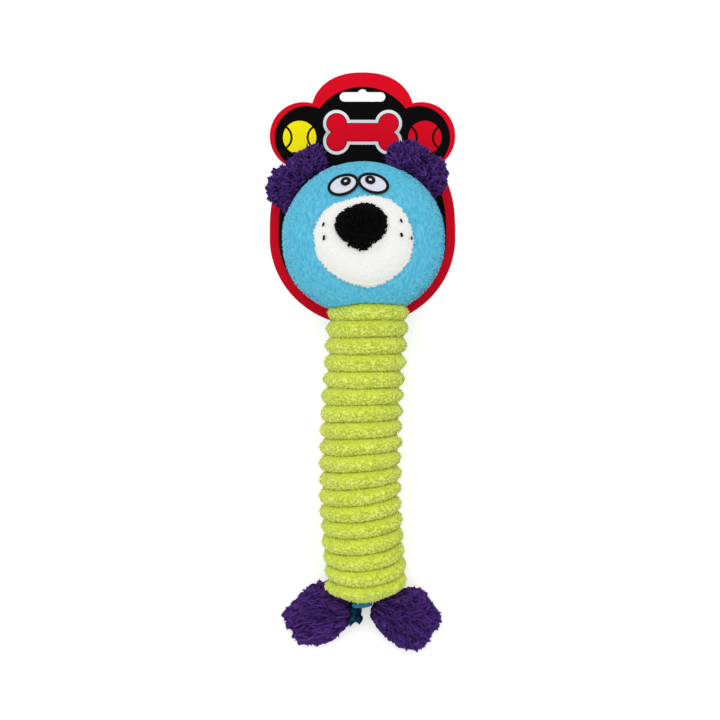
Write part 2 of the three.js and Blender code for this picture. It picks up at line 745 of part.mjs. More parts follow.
function makeCard() {
  const oval = prismOf(
    outlineOf(
      CARD_HALF_WIDTH,
      CARD_OVAL_UP,
      CARD_OVAL_DOWN,
      CARD_OVAL_UPPER_POWER,
      CARD_OVAL_LOWER_POWER,
      CARD_POINTS,
    ),
    CARD_THICKNESS,
  );
  const topLobe = prismOf(
    outlineOf(
      CARD_TOP_LOBE_HALF_WIDTH,
      CARD_TOP_LOBE_HALF_HEIGHT,
      CARD_TOP_LOBE_HALF_HEIGHT,
      CARD_TOP_LOBE_POWER,
      CARD_TOP_LOBE_POWER,
      CARD_POINTS,
    ),
    CARD_THICKNESS,
  ).translate([0, CARD_TOP_LOBE_Y, 0]);
  const sideLobeX = CARD_HALF_WIDTH - CARD_SIDE_LOBE_RADIUS;
  const lobe = discOf(CARD_SIDE_LOBE_RADIUS, CARD_THICKNESS, CARD_POINTS);
  const pinHole = discOf(PIN_HOLE_RADIUS, CARD_THICKNESS + 2 * GAP).translate([0, 0, -GAP]);
  const card = oval
    .add(topLobe)
    .add(lobe.translate([-sideLobeX, CARD_SIDE_LOBE_Y, 0]))
    .add(lobe.translate([sideLobeX, CARD_SIDE_LOBE_Y, 0]))
    .subtract(pinHole)
    .translate([0, 0, CARD_BACK_Z])
    .subtract(hangSlot());
  place("hang_card", card, "card");
}

// The stiff stretches of the tube lie between the flexing ribs.
const flexStarts = Object.values(FLEX_RIBS);

function makeBody() {
  flexStarts.forEach((rib, i) => {
    const name = i === 0 ? "flex_rib_neck" : `flex_rib_${i}`;
    place(name, ribbedSleeve(rib, 1), "green_plush");
  });
  for (let i = 0; i < flexStarts.length - 1; i++) {
    const first = flexStarts[i] + 1;
    const ribs = flexStarts[i + 1] - first;
    place(`body_sleeve_${i + 1}`, ribbedSleeve(first, ribs), "green_plush");
    const plug = stuffingPlug(first, ribs);
    if (i === SQUEAKER_STRETCH) makeSqueakerPocket(plug, first + ribs / 2);
    else place(`body_filling_${i + 1}`, plug, "filling");
  }
  const last = flexStarts[flexStarts.length - 1] + 1;
  place(`body_sleeve_${flexStarts.length}`, endSleeve(last), "green_plush");
  place(`body_filling_${flexStarts.length}`, endStuffing(last), "filling");
  const baseRadius = RIB_CREST_RADIUS * END_RIB_SHARES[END_RIB_SHARES.length - 1][0];
  const disc = turnedAlongBody([
    [BASE_START, 0],
    [BASE_START, baseRadius],
    [BASE_START + BASE_DISC_THICKNESS, baseRadius],
    [BASE_START + BASE_DISC_THICKNESS, 0],
  ]);
  place("base_disc", disc, "base_fabric");
}

// Squeaker: a bellows between two plates, with the reed in the upper one. It lies flat in the middle
// stretch.
const SQUEAKER_STRETCH = 2;

function squeakerParts() {
  const inner = SQUEAKER_HALF_HEIGHT - SQUEAKER_PLATE - GAP;
  const points = [];
  const steps = 2 * SQUEAKER_FOLDS;
  for (let i = 0; i <= steps; i++) {
    const radius = SQUEAKER_RADIUS - (i % 2 ? SQUEAKER_FOLD_DEPTH : 0);
    points.push(new THREE.Vector2(radius, -inner + (2 * inner * i) / steps));
  }
  const inside = points.map((p) => new THREE.Vector2(p.x - SQUEAKER_WALL, p.y)).reverse();
  const profile = [...points, ...inside, points[0].clone()];
  const bellows = new THREE.LatheGeometry(profile, ROUND_SIDES);
  bellows.rotateX(Math.PI / 2);
  const plate = discOf(SQUEAKER_RADIUS, SQUEAKER_PLATE);
  const reedHole = discOf(REED_RADIUS + GAP, SQUEAKER_PLATE + 2 * GAP).translate([0, 0, -GAP]);
  const reed = discOf(REED_RADIUS, REED_LENGTH + SQUEAKER_PLATE).subtract(
    discOf(REED_BORE_RADIUS, REED_LENGTH + SQUEAKER_PLATE + 2 * GAP).translate([0, 0, -GAP]),
  );
  const plateZ = SQUEAKER_HALF_HEIGHT - SQUEAKER_PLATE;
  return {
    base: plate.translate([0, 0, -SQUEAKER_HALF_HEIGHT]),
    bellows: solidOf(bellows),
    cap: plate.subtract(reedHole).translate([0, 0, plateZ]),
    reed: reed.translate([0, 0, plateZ - REED_LENGTH]),
  };
}

function makeSqueakerPocket(plug, middleRib) {
  const { centre } = bodyFrame(ribPlace(middleRib));
  const at = centre.toArray();
  const pocketHalf = SQUEAKER_HALF_HEIGHT + GAP;
  const pocket = discOf(SQUEAKER_RADIUS + GAP, 2 * pocketHalf).translate([0, 0, -pocketHalf]);
  const hollow = plug.subtract(pocket.translate(at));
  const name = `body_filling_${SQUEAKER_STRETCH + 1}`;
  place(`${name}_front`, hollow.subtract(blockBeyond("z", centre.z + GAP / 2, -1)), "filling");
  place(`${name}_back`, hollow.subtract(blockBeyond("z", centre.z - GAP / 2, 1)), "filling");
  const parts = squeakerParts();
  for (const [part, solid] of Object.entries(parts))
    place(`squeaker_${part}`, solid.translate(at), "squeaker_plastic");
}

function makeFeet() {
  const layerNames = { upper: "top", lower: "sole" };
  for (const [name, sewn] of [["left_foot", LEFT_FOOT], ["right_foot", RIGHT_FOOT]]) {
    const hinge = footHinge(sewn);
    placeFlap(name, foot, hinge, sewn.angle, footDroop(hinge), layerNames, true);
  }
}

makeCard();
makeHead();
makeEars();
makeBody();
makeFeet();

// The origin is the middle of the toy's box, on the surface that it lies on.
const box = new THREE.Box3().setFromObject(toy, true);
const middle = box.getCenter(new THREE.Vector3());
toy.position.set(-middle.x, -middle.y, -box.min.z);
toy.updateMatrixWorld(true);

export default toy;
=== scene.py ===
"""Looks of a plush squeaky dog toy that lies on its back, face up, with a hang card behind its head.

Metres, +Z up out of the face, +Y from the feet to the head, +X to the right of the face.
"""

import json
import math

import bpy
import numpy as np
from mathutils import Matrix, Vector, bvhtree, kdtree, noise


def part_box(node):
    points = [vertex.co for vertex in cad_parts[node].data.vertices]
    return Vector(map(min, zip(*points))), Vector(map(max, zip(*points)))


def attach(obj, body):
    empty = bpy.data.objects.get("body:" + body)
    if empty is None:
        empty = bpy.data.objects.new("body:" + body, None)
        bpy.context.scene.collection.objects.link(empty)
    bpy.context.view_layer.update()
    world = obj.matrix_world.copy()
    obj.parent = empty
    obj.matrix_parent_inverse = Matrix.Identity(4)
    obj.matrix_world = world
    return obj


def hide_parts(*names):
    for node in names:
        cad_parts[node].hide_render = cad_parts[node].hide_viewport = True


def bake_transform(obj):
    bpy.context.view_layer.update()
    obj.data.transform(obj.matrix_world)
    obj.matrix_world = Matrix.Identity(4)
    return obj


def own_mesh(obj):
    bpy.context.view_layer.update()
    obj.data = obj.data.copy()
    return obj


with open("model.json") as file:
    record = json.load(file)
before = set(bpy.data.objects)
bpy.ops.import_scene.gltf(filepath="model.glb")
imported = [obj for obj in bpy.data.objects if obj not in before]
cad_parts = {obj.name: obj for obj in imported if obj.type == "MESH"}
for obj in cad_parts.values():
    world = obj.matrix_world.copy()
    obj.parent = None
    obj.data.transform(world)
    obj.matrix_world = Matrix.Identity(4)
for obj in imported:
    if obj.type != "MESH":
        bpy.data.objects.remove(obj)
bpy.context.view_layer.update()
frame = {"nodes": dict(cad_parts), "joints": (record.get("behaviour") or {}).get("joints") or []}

# Camera: straight above, far off, so that one pixel of the photograph is PIXEL wide on the toy
PIXEL = 0.0007
PHOTO_ZERO = (360.86, 362.53)  # the pixel over the toy's origin
PICTURE_SIDE = 720 * PIXEL
VIEW_CENTRE = (-0.0006, 0.00177)
VIEW_PLANE_Z = 0.04
VIEW_END = 200
CAMERA_DISTANCE = 20
SENSOR_WIDTH = 36

# Light and floor
SUN_PLACE = (-0.1, 0.4, 1.4)
SUN_STRENGTH = 0.8
SUN_SOFTNESS = math.radians(40)
WORLD_LIGHT = 0.86
FLOOR_SIDE = 80
FLOOR_COLOUR = 0.8
FLOOR_GLOW = 0.42
FLOOR_CLEARANCE = 0.0002  # how low a soft piece may lie

# The nap of each plush: the size of its lumps and how high they stand
HEAD_NAP = (0.0030, 0.0004)
MUZZLE_NAP = (0.0030, 0.0005)
NOSE_NAP = (0.0025, 0.0008)
TUBE_NAP = (0.0019, 0.0009)
FLAP_NAP = (0.006, 0.0016)

# Fibres and locks: the lean from upright in radians, and how much each one strays from its combed way
HEAD_PILE = {"lean": 1.0, "length": 0.0016, "thickness": 0.0003, "sway": 0.6}
TUBE_PILE = {"lean": 0.7, "length": 0.0014, "thickness": 0.00032, "sway": 0.6}
NOSE_HAIR = {"lean": 0.8, "length": 0.0038, "thickness": 0.0007, "sway": 0.6, "spread": 0.4}
FLUFF_LOCK = {"lean": 1.2, "length": 0.0075, "thickness": 0.0014, "sway": 0.35}
HEAD_FIBRES = 3500
TUBE_FIBRES_PER_RIB = 800
NOSE_HAIRS = 1400
FLUFF_LOCKS = 50
PILE_SINK = 0.0002
LOCK_SINK = 0.0006
UPRIGHT_SHARE = 0.65  # how much less a strand leans where it is combed straight off its surface
HEAD_COMB_SPREAD = 12  # how far the head's pile turns to its sides, per metre from the middle
TUBE_COMB = (0.5, -1.0, 0.0)

# Cloth
CLOTH_STEPS = 20
CLOTH_PRESSURE = 4
HEAD_VOXEL = 0.005
MUZZLE_VOXEL = 0.004
NEAR_POINTS = 6
NEAR_SHARE = 0.2  # of a voxel, within which a near point counts no more than another
# Where the cloth is held round the muzzle and the nose: a ring's middle and half its width, as shares of
# their half sizes
MUZZLE_HOLD = (0.97, 0.06)
NOSE_HOLD = (0.9, 0.12)

# Head form, as the two panels are cut
HEAD_UP = 0.053
HEAD_DOWN = 0.054
HEAD_UPPER_POWER = 2
HEAD_LOWER_POWER = 2.2
HEAD_SKIN_INSET = 0.0003  # the pile fills it up
HEAD_FULLNESS = 2.6
HEAD_SIDES = 360
HEAD_RINGS = 180
HEAD_UNEVENNESS = 0.0006
HEAD_LUMP = 0.022
NECK_BELOW_HEAD = 0.0466
NECK_RADIUS = 0.0252
NECK_EDGE_RADIUS = 0.0292
NECK_OVERHANG = 0.0062
NECK_FRONT_SHARE = 0.9  # how much less the head hangs over the neck at its front and back
GATHERS = 34
GATHER_DEPTH = 0.0009
GATHER_REACH = 0.024
GATHER_START = 0.006
GATHER_WANDER = 0.012
GATHER_SWAY = 3  # how far the gathers wander round the neck, in radians of a fold
GATHER_LUMP = 0.009
GATHER_UNEVEN_SHARE = 0.4
SIDE_SEAM_DEPTH = 0.0009
SIDE_SEAM_HALF_WIDTH = 0.0014
SIDE_SEAM_HOLD = 0.003  # how near the seam the cloth is held
CHIN_SEAM_PIXEL = 366
CHIN_SEAM_DEPTH = 0.0006
CHIN_SEAM_HALF_WIDTH = 0.0016
FACE_HEIGHT = 0.01  # over the side seam, from where the head counts as face
FACE_PILE_FADE = 0.015
PILE_GAP = 0.001  # how far the pile keeps from the head's rest, and reaches into the neck
MUZZLE_BARE_SHARE = 0.85  # of the muzzle's half sizes, within which the head has no pile

# Muzzle and nose
MUZZLE_SIDES = 400
MUZZLE_RINGS = 110
MUZZLE_FULLNESS = 2.5
MUZZLE_SINK = 0.010
MUZZLE_FUR = 0.0012
MUZZLE_UNEVENNESS = 0.0006
MUZZLE_LUMP = 0.018
MUZZLE_RIM = 0.004
MUZZLE_SEAM_DEPTH = 0.0003
MUZZLE_SEAM_HALF_WIDTH = 0.002
FRINGE_WIDTH = 0.05  # of the tufts along the muzzle's edge, in radians
FRINGE_DEPTH = 0.0012
FRINGE_RISE = 0.4  # how far the tufts stand out, in fringe depths
FRINGE_CUT = 2  # how deep the gaps between them are, in fringe depths
FRINGE_TOP = 0.011
FRINGE_FADE = 0.005
NOSE_SIDES = 72
NOSE_RINGS = 36
NOSE_FULLNESS = 2.4
NOSE_SINK = 0.005
NOSE_FUR = 0.0026
NOSE_PAD_DROP = 0.0005
NOSE_HAIR_EDGE = 0.002
NOSE_DIP = 0.0010  # in the muzzle, round the nose
NOSE_DIP_SHARE = 0.35  # of the nose's half sizes, within which the muzzle dips
# The nose's outline in the photograph, in pixels
NOSE_OUTLINE = (
    (362, 203.5), (377, 207), (385, 216), (387.3, 226), (383, 237), (372, 246.5), (359.5, 251.5), (347, 245),
    (337, 233), (335.5, 221), (345, 210.5),
)
# The muzzle's outline in the photograph, in pixels
MUZZLE_OUTLINE = (
    (366, 193.3), (388, 197), (405, 209), (414.5, 228), (415.5, 245), (409, 265), (390, 283), (366, 289.3),
    (341, 282), (320, 265), (311, 240), (316, 219), (332, 202),
)

# Ribbed tube
RIB_COUNT = 17
RIB_PITCH = 0.0112
RIB_SAG = 0.0036  # how much lower the middle ribs lie than evenly spaced ones
RIB_CREST_RADIUS = 0.0285
RIB_GROOVE_RADIUS = 0.0236
RIB_ROUNDNESS = 1.6
RIB_CREST_POWER = 0.82
RIB_RINGS = 18
TUBE_SIDES = 300
SAME_PLACE = 1e-5
START_RIBS = 0.02  # the tube's first points, which stay on one cut
CLOSING_LENGTH = 0.0183
CLOSING_CREST_SHARE = 0.31
CLOSING_END_SHARE = 0.25
CLOSING_SHIFT = 0.0046  # how far to the left the base patch lies
CLOSING_TAPER_POWER = 1.6
CLOSING_DRAW_POWER = 1.1
CLOSING_RINGS = 22
BODY_X = 0.0035
BODY_DRIFT = 0.0017
BODY_BOW = 0.0046
BODY_SWAY = 0.0009
BODY_DROP = 0.014723
# For each stretch: its ribs, the rib that bends, the bodies on its two sides, and the nodes that it replaces
TUBE_STRETCHES = (
    ("neck_ribs", 0, 2, 0, "head", "neck", ("flex_rib_neck", "body_sleeve_1", "body_filling_1")),
    ("chest_ribs", 2, 5, 3, "neck", "chest", ("flex_rib_1", "body_sleeve_2", "body_filling_2")),
    (
        "middle_ribs", 5, 8, 6, "chest", "middle",
        ("flex_rib_2", "body_sleeve_3", "body_filling_3_front", "body_filling_3_back"),
    ),
    ("hip_ribs", 8, 12, 10, "middle", "hips", ("flex_rib_3", "body_sleeve_4", "body_filling_4")),
    ("base_ribs", 12, 19, 13, "hips", "base", ("flex_rib_4", "body_sleeve_5", "body_filling_5")),
)
BEND_MARGIN = 0.8  # in ribs, how far past the flexing rib the start and end of each stretch's bend are worked out
RIB_LEAN = 0.2  # how far the lowest ribs lean out over the end, per unit of height
FIRST_LEANING_RIB = 9
RIB_TILT = 0.1  # how far the lower ribs rise to the right, per unit of width
FIRST_TILTED_RIB = 5
TILTED_RIBS = 18
# What makes the ribs differ: the size of its lumps, in ribs, and how much it does
RIB_SHIFT = (1.7, 0.0006)
RIB_SWELL = (1.3, 0.014)
RIB_SLANT = (2.1, 0.02)
RIB_PINCH = (0.02, 0.0005)  # its lumps in metres
TUBE_REST = 0.0003
TUBE_PILE_REST = 0.0008
END_FACING = 0.97  # how squarely a face of the tube looks along it, from where it is a cut end
BASE_PATCH_SIDES = 72
BASE_PATCH_DEPTH = 0.0026
BASE_PATCH_STEPS = ((0.0012, 0.0006), (0.0030, 0.0006), (0.0045, 0.0003))  # insets and rises of its edge
BASE_PATCH_BEVEL = 0.0004
BASE_PATCH_GAP = 0.0003

# Ears and feet
FLAP_SIDES = 96
FLAP_RINGS = 36
EARS = {
    "angles": {"left_ear": 137, "right_ear": 52.5}, "droop": 12, "body": "head", "bend": 0.005,
    "half_thickness": 0.0045, "fur": 0.0044, "locks": "curly", "count": 1500, "seed": 41,
    "lock": {"lean": 0.7, "length": 0.0056, "thickness": 0.0013, "sway": 0.8, "spread": 0.35, "wild": 0.3},
    "layers": ("front", "back"), "fill": 0.3,
}
FEET = {
    "angles": {"left_foot": 197, "right_foot": 333}, "droop": 17, "body": "base", "bend": 0.008,
    "half_thickness": 0.0082, "fur": 0.0056, "locks": "long", "count": 2000, "seed": 51,
    "lock": {"lean": 0.85, "length": 0.0080, "thickness": 0.0014, "sway": 0.45, "spread": 0.35, "wild": 0.3},
    "layers": ("top", "sole"), "fill": 0.7,
}
TUFT_WIDTH = 0.11  # of the tufts along a flap's outline, in radians
TUFT_DEPTH = 0.0050
TUFT_SHARPNESS = 2.2
TUFT_REACH = 0.0018
TUFT_STRAY = 0.0005
TIP_SHARE = 0.3  # how far ahead of its root a lock's tip lies, and the least that trimming leaves of a lock
FAN_BEHIND = 0.006
FAN_RISE_SHARE = 0.4
FLUFF_PLACE = (354.5, 610)  # the pixel where the tuft under the base patch hangs
FLUFF_HEIGHT = 0.014
FLUFF_SPREAD = (0.0014, 0.0028, 0.0020)
FLUFF_COMB = (-0.35, -1.0, -0.15)
FLUFF_FACING_RISE = 0.6
FLUFF_FACING_SPREAD = 0.5
# Outlines of the fur in the photograph, in pixels, and on round under the head or the tube
FLAP_OUTLINES = {
    "left_ear": (
        (331, 164), (321, 142), (305, 145), (288, 158), (270, 172), (264, 192), (272, 206), (288, 216),
        (296, 200), (316, 174),
    ),
    "right_ear": (
        (384, 163), (383, 148), (397, 140), (412, 139), (426, 145), (448, 164), (451, 178), (443, 198),
        (430, 198), (410, 178),
    ),
    "left_foot": (
        (324, 580), (312, 584), (302, 590), (294, 600), (284, 611), (280.5, 618), (289, 629), (295, 639),
        (304, 646), (316, 647), (329, 643), (340, 637), (348, 626), (355, 611), (350, 597),
    ),
    "right_foot": (
        (370, 604), (374, 622), (383, 638), (397, 648), (413, 654.5), (424, 647), (433, 636), (442, 624),
        (441, 614), (432, 601), (424, 591), (415, 585), (402, 588), (385, 596),
    ),
}

# Eyes and whisker stitches
EYE_DROP = Vector((0, 0.0009, 0))
EYE_TILTS = {"left": 19, "right": -16}
EYE_HALF_SIZES = {"left": (0.0109, 0.0070), "right": (0.0109, 0.0068)}
# How high over the head's skin each layer of stitches lies: the white, its rim, the pupil, its rim, the glint
EYE_FILL_LIFT = 0.0010
EYE_RIM_LIFT = 0.0014
PUPIL_FILL_LIFT = 0.0016
PUPIL_RIM_LIFT = 0.0017
GLINT_LIFT = 0.0020
EYE_RIM = 0.0016
EYE_FILL_INSET = 0.00096  # how far the white's stitches stay inside the rim's outer edge
EYE_RIM_STITCHES = 150
EYE_HOLD = 0.0015
EYE_PILE_GAP = 0.0004
PUPIL_FILL_SIZE = (0.0030, 0.0023)
PUPIL_SIZE = (0.0034, 0.0027)
PUPIL_RIM = 0.0012
PUPIL_RIM_STITCHES = 48
GLINT_SIZE = (0.0009, 0.0008)
# The pitch and the length of the fill stitches
EYE_FILL = (0.00042, 0.0032)
PUPIL_FILL = (0.0004, 0.006)
GLINT_FILL = (0.0004, 0.003)
STITCH_THICKNESS = 0.00055
ROW_SHIFT_SHARE = 0.9  # of a fill stitch, by which one row may be offset from the next
SHORTEST_SHARE = 0.3  # of the rows' pitch, under which a fill stitch is left out
SATIN_SLANT = 0.6  # of the stitches of a ring, in stitches
WHISKER_DEPTH = 0.0016
WHISKER_LIFT = 0.0012
# Where the stitches show in the photograph, in pixels, with their length and width in pixels and their lean
WHISKERS = (
    (324.3, 225, 4.6, 2.0, 0.35),
    (324.7, 238, 5.6, 2.8, 0.25),
    (400.2, 221.4, 4.4, 2.2, -0.5),
    (400.7, 235.4, 4.6, 3.2, -0.3),
    (409.6, 223.5, 2.4, 1.4, -0.5),
    (410.2, 238.5, 3.6, 1.6, -0.3),
)

# Hang card. Each oval: half its width, its reach up and down, and the powers of its upper and lower outline
CARD_DROP = 0.0009  # how far below the head's middle the card's middle lies
CARD_OVAL = (0.0651, 0.0644, 0.0616, 2.9, 2)
CARD_TOP_Y = 0.084  # over the card's middle
CARD_TOP = (0.0365, 0.0322, 0.0322, 2.3, 2.3)
CARD_LOBE = (0.0413, 0.0707, 0.0238)  # how far aside and up from the head's middle, and its radius
CARD_BEVEL = 0.00012
PRINT_OVAL = (0.0588, 0.0575, 0.0540, 2.9, 2)
PRINT_TOP_Y = 0.1558
PRINT_TOP = (0.0376, 0.0376, 0.0376, 2, 2)
PRINT_LOBE = (0.0391, 0.0693, 0.0224)
SLOT_ABOVE = 0.099
SLOT_HALF_WIDTH = 0.016
SLOT_HALF_HEIGHT = 0.0033
SLOT_BUMP_RADIUS = 0.0034
SLOT_BUMP_RISE = 0.0021
PIN_HOLE_RADIUS = 0.0015
PIN_SHIFT = 0.0007
PRINTED_FACING = 0.3  # how far up a face of the card looks, from where it is printed
CUT_MARGIN = 0.001  # how far a cutting form stands out of what it cuts
LABEL_CENTRE = (0.0012, 0.1615)
LABEL_HALF_HEIGHT = 0.0150
LABEL_LAYERS = (
    ("label_rim", 0.0027, "silver_ink"), ("label_line", 0.0005, "black_ink"), ("label_field", 0.0, "red_ink"),
)
BONE_KNOB_RADIUS = 0.0068
BONE_KNOB_X = 0.0182
BONE_KNOB_Y = 0.0062
BONE_BAR_HALF_HEIGHT = 0.0060
BONE_BAR_POWER = 5
BALLS = (("left_ball", (299.5, 137), "yellow_ink"), ("right_ball", (425, 137), "red_ink"))  # at pixels
BALL_RADIUS = 0.0117
BAND_FROM_MIDDLE = 0.0144
BAND_OUTER_RADIUS = 0.0095
BAND_INNER_RADIUS = 0.0080
INK = 0.00004  # thickness of a printed layer
# Points round each outline
CARD_POINTS = 160
LOBE_POINTS = 128
SLOT_POINTS = 48
PIN_HOLE_POINTS = 32
BONE_POINTS = 96
KNOB_POINTS = 64
BALL_POINTS = 96

# Where each piece's random draws start
HEAD_SEED = 11
NOSE_SEED = 13
EYE_SEED = 21
TUBE_SEED = 31
FLUFF_SEED = 61


def srgb(*channels):
    """A display colour as the linear values that a material holds."""
    return tuple(c / 12.92 if c <= 0.04045 else ((c + 0.055) / 1.055) ** 2.4 for c in channels) + (1,)


# Materials


class Wire:
    """The output of a node. Python's operators on it add Math nodes."""

    def __init__(self, finish, socket):
        self.finish = finish
        self.socket = socket

    def math(self, operation, first, second=0.0):
        return self.finish.node("ShaderNodeMath", {"operation": operation}, {0: first, 1: second})

    def __add__(self, other):
        return self.math("ADD", self, other)

    __radd__ = __add__

    def __sub__(self, other):
        return self.math("SUBTRACT", self, other)

    def __rsub__(self, other):
        return self.math("SUBTRACT", other, self)

    def __mul__(self, other):
        return self.math("MULTIPLY", self, other)

    __rmul__ = __mul__

    def __truediv__(self, other):
        return self.math("DIVIDE", self, other)

    def __gt__(self, other):
        return self.math("GREATER_THAN", self, other)

    def __lt__(self, other):
        return self.math("LESS_THAN", self, other)

    def __abs__(self):
        return self.math("ABSOLUTE", self)

    def limited(self):
        return self.finish.node("ShaderNodeClamp", {}, {"Value": self})

    def larger(self, other):
        return self.math("MAXIMUM", self, other)


class Finish:
    """A material and its nodes."""

    def __init__(self, name, roughness=0.9, metallic=0.0, specular=0.5, sheen=0.0, sheen_tint=(1, 1, 1, 1)):
        self.material = bpy.data.materials.new(name)
        self.material.use_nodes = True
        self.tree = self.material.node_tree
        self.surface = self.tree.nodes["Principled BSDF"]
        self.set("Roughness", roughness)
        self.set("Metallic", metallic)
        self.set("Specular IOR Level", specular)
        self.set("Sheen Weight", sheen)
        self.set("Sheen Roughness", 0.45)
        self.set("Sheen Tint", sheen_tint)

    def node(self, kind, settings, inputs, output=0):
        """Any node: its settings are set first, then the values or wires of its sockets."""
        made = self.tree.nodes.new(kind)
        for key, value in settings.items():
            setattr(made, key, value)
        for key, value in inputs.items():
            self.feed(made.inputs[key], value)
        return Wire(self, made.outputs[output])

    def feed(self, socket, value):
        """A colour of three channels is a display colour, and one of four is linear."""
        if isinstance(value, Wire):
            self.tree.links.new(value.socket, socket)
        elif socket.type == "RGBA" and len(value) == 3:
            socket.default_value = srgb(*value)
        else:
            socket.default_value = value

    def set(self, socket, value):
        self.feed(self.surface.inputs[socket], value)

    def place(self):
        return self.node("ShaderNodeTexCoord", {}, {}, "Object")

    def value(self, name):
        """A number that the mesh holds at each of its points."""
        return self.node("ShaderNodeAttribute", {"attribute_name": name}, {}, "Fac")

    def noise(self, size, detail=2.0, stretch=None):
        """Noise from 0 to 1 with lumps of the given size in metres, drawn out where stretch says."""
        at = self.place()
        if stretch:
            at = self.node("ShaderNodeMapping", {}, {"Vector": at, "Scale": stretch})
        inputs = {"Vector": at, "Scale": 1 / size, "Detail": detail}
        return self.node("ShaderNodeTexNoise", {}, inputs)

    def mix(self, factor, first, second):
        inputs = {"Factor": factor, 6: first, 7: second}
        return self.node("ShaderNodeMix", {"data_type": "RGBA"}, inputs, 2)

    def colour_over_fibres(self, skin, pile):
        """The skin's colour, and the pile's own on its fibres."""
        self.set("Base Color", self.mix((self.value("strand") * 9).limited(), skin, pile))

    def bump(self, height, distance, strength):
        inputs = {"Height": height, "Distance": distance, "Strength": strength}
        self.set("Normal", self.node("ShaderNodeBump", {}, inputs))


def darker(colour, share):
    return tuple(channel * share for channel in srgb(*colour)[:3]) + (1,)


def contrast(wire, low, high):
    """Spreads the values between low and high over 0 to 1."""
    return ((wire - low) / (high - low)).limited()


def plush(name, dark, light, patch, pile, tuft=0.0014, sheen=0.35, stretch=(1, 1, 1)):
    """Short pile: a skin in tufts and soft patches, with fibres of the colour given by pile."""
    finish = Finish(name, roughness=1.0, specular=0.05, sheen=sheen, sheen_tint=light)
    tufts = contrast(finish.noise(tuft, 3.0, stretch), 0.36, 0.66)
    fine = finish.noise(tuft * 0.4, 2.0, stretch)
    patches = contrast(finish.noise(0.012, 2.0), 0.35, 0.65)
    mixed = finish.mix((tufts * 0.45 + fine * 0.45).limited(), dark, light)
    finish.colour_over_fibres(finish.mix(patches * 0.35 + 0.1, mixed, patch), pile)
    finish.bump(tufts * 0.7 + fine * 0.3, 0.0004, 0.9)
    return finish.material


def ribbed_plush(name, dark, light, flank, groove_shade_colour, pile):
    """Looped pile on the tube: smooth on the upper flank of each rib, and granular over the rest of it, with
    painted shade in a thin dark line along each groove.
    """
    finish = Finish(name, roughness=1.0, specular=0.05, sheen=0.5, sheen_tint=(0.96, 0.98, 0.70))
    rib = finish.value("rib")
    share = rib.math("FRACT", rib)
    lower = contrast(share, 0.2, 0.5).larger(rib > RIB_COUNT + 1)
    # Painted shade: a thin dark line along each groove, where two ribs meet
    groove_shade = contrast(abs(share - 0.5), 0.43, 0.5) * (rib < RIB_COUNT + 0.2) * (rib > 0.5)
    loops = contrast(finish.noise(0.0019, 1.5, (1, 1.2, 1)), 0.42, 0.58)
    fine = finish.noise(0.0005, 2.0)
    patches = contrast(finish.noise(0.011, 1.0), 0.4, 0.65)
    looped = finish.mix((loops * 0.75 + fine * 0.2 + patches * 0.15).limited(), dark, light)
    skin = finish.mix(groove_shade * 0.6, finish.mix(lower * 0.65 + 0.2, flank, looped), groove_shade_colour)
    finish.colour_over_fibres(skin, pile)
    finish.bump(loops * 0.7 + fine * 0.3, 0.0005, lower * 0.6 + 0.3)
    return finish.material


def yarn(name, dark, light, sheen, tint=None):
    """Spun locks: painted shade darkens them towards their roots, with fine strands along them, and some
    locks lighter than others.
    """
    finish = Finish(name, roughness=0.85, specular=0.08, sheen=sheen, sheen_tint=tint or light)
    patches = contrast(finish.noise(0.005, 2.0), 0.3, 0.7)
    strands = finish.noise(0.0006, 2.0)
    # Painted shade: each lock is darker towards its root, and the pad under the locks, which has no tip
    # value, takes the darkest colour
    height = contrast(finish.value("tip"), 0.15, 0.9)
    shade = height * 0.65 + finish.value("strand") * 0.35 + patches * 0.1 + strands * 0.25 - 0.18
    finish.set("Base Color", finish.mix(shade.limited(), dark, light))
    finish.bump(strands, 0.0003, 0.8)
    return finish.material


def thread(name, dark, light):
    """Glossy embroidery thread with its twist showing."""
    finish = Finish(name, roughness=0.5, specular=0.1)
    twist = contrast(finish.noise(0.0004, 1.0, (1, 1.6, 1)), 0.35, 0.65)
    finish.set("Base Color", finish.mix(twist, dark, light))
    finish.set("Roughness", twist * 0.2 + 0.45)
    finish.bump(twist, 0.00008, 0.6)
    return finish.material


def print_ink(name, colour):
    """Ink under a thin film, with the faint unevenness of coated board."""
    finish = Finish(name, specular=0.015)
    finish.set("Coat Roughness", 0.15)
    waves = finish.noise(0.03, 2.0)
    grain = finish.noise(0.0006, 1.0)
    finish.set("Base Color", finish.mix(grain * 0.5, colour, darker(colour, 0.94)))
    finish.set("Roughness", waves * 0.12 + 0.24)
    finish.set("Coat Weight", waves * 0.02)
    finish.bump(waves * 0.8 + grain * 0.2, 0.0002, 0.25)
    return finish.material


def silver_ink(name):
    """Printed silver, light above and below and greyer across the middle."""
    finish = Finish(name, roughness=0.34, specular=0.4)
    height = finish.node("ShaderNodeSeparateXYZ", {}, {"Vector": finish.place()}, "Y")
    across = abs(height - LABEL_CENTRE[1]) / LABEL_HALF_HEIGHT
    shine = finish.noise(0.006, 1.0, (0.3, 1, 1))
    grey = contrast(across * 0.6 + shine * 0.4, 0.15, 0.75)
    finish.set("Base Color", finish.mix(grey, (0.72, 0.73, 0.75), (0.9, 0.9, 0.92)))
    finish.set("Roughness", shine * 0.2 + 0.25)
    return finish.material


def board(name):
    """Grey-white cardboard with fibres in its cut edge and back."""
    finish = Finish(name, roughness=0.85, specular=0.25)
    fibres = finish.noise(0.0012, 3.0, (1, 0.3, 1))
    specks = contrast(finish.noise(0.0008, 1.0), 0.62, 0.72)
    plain = finish.mix(fibres, (0.86, 0.85, 0.82), (0.94, 0.93, 0.91))
    finish.set("Base Color", finish.mix(specks * 0.4, plain, (0.7, 0.68, 0.64)))
    finish.bump(fibres, 0.00008, 0.5)
    return finish.material


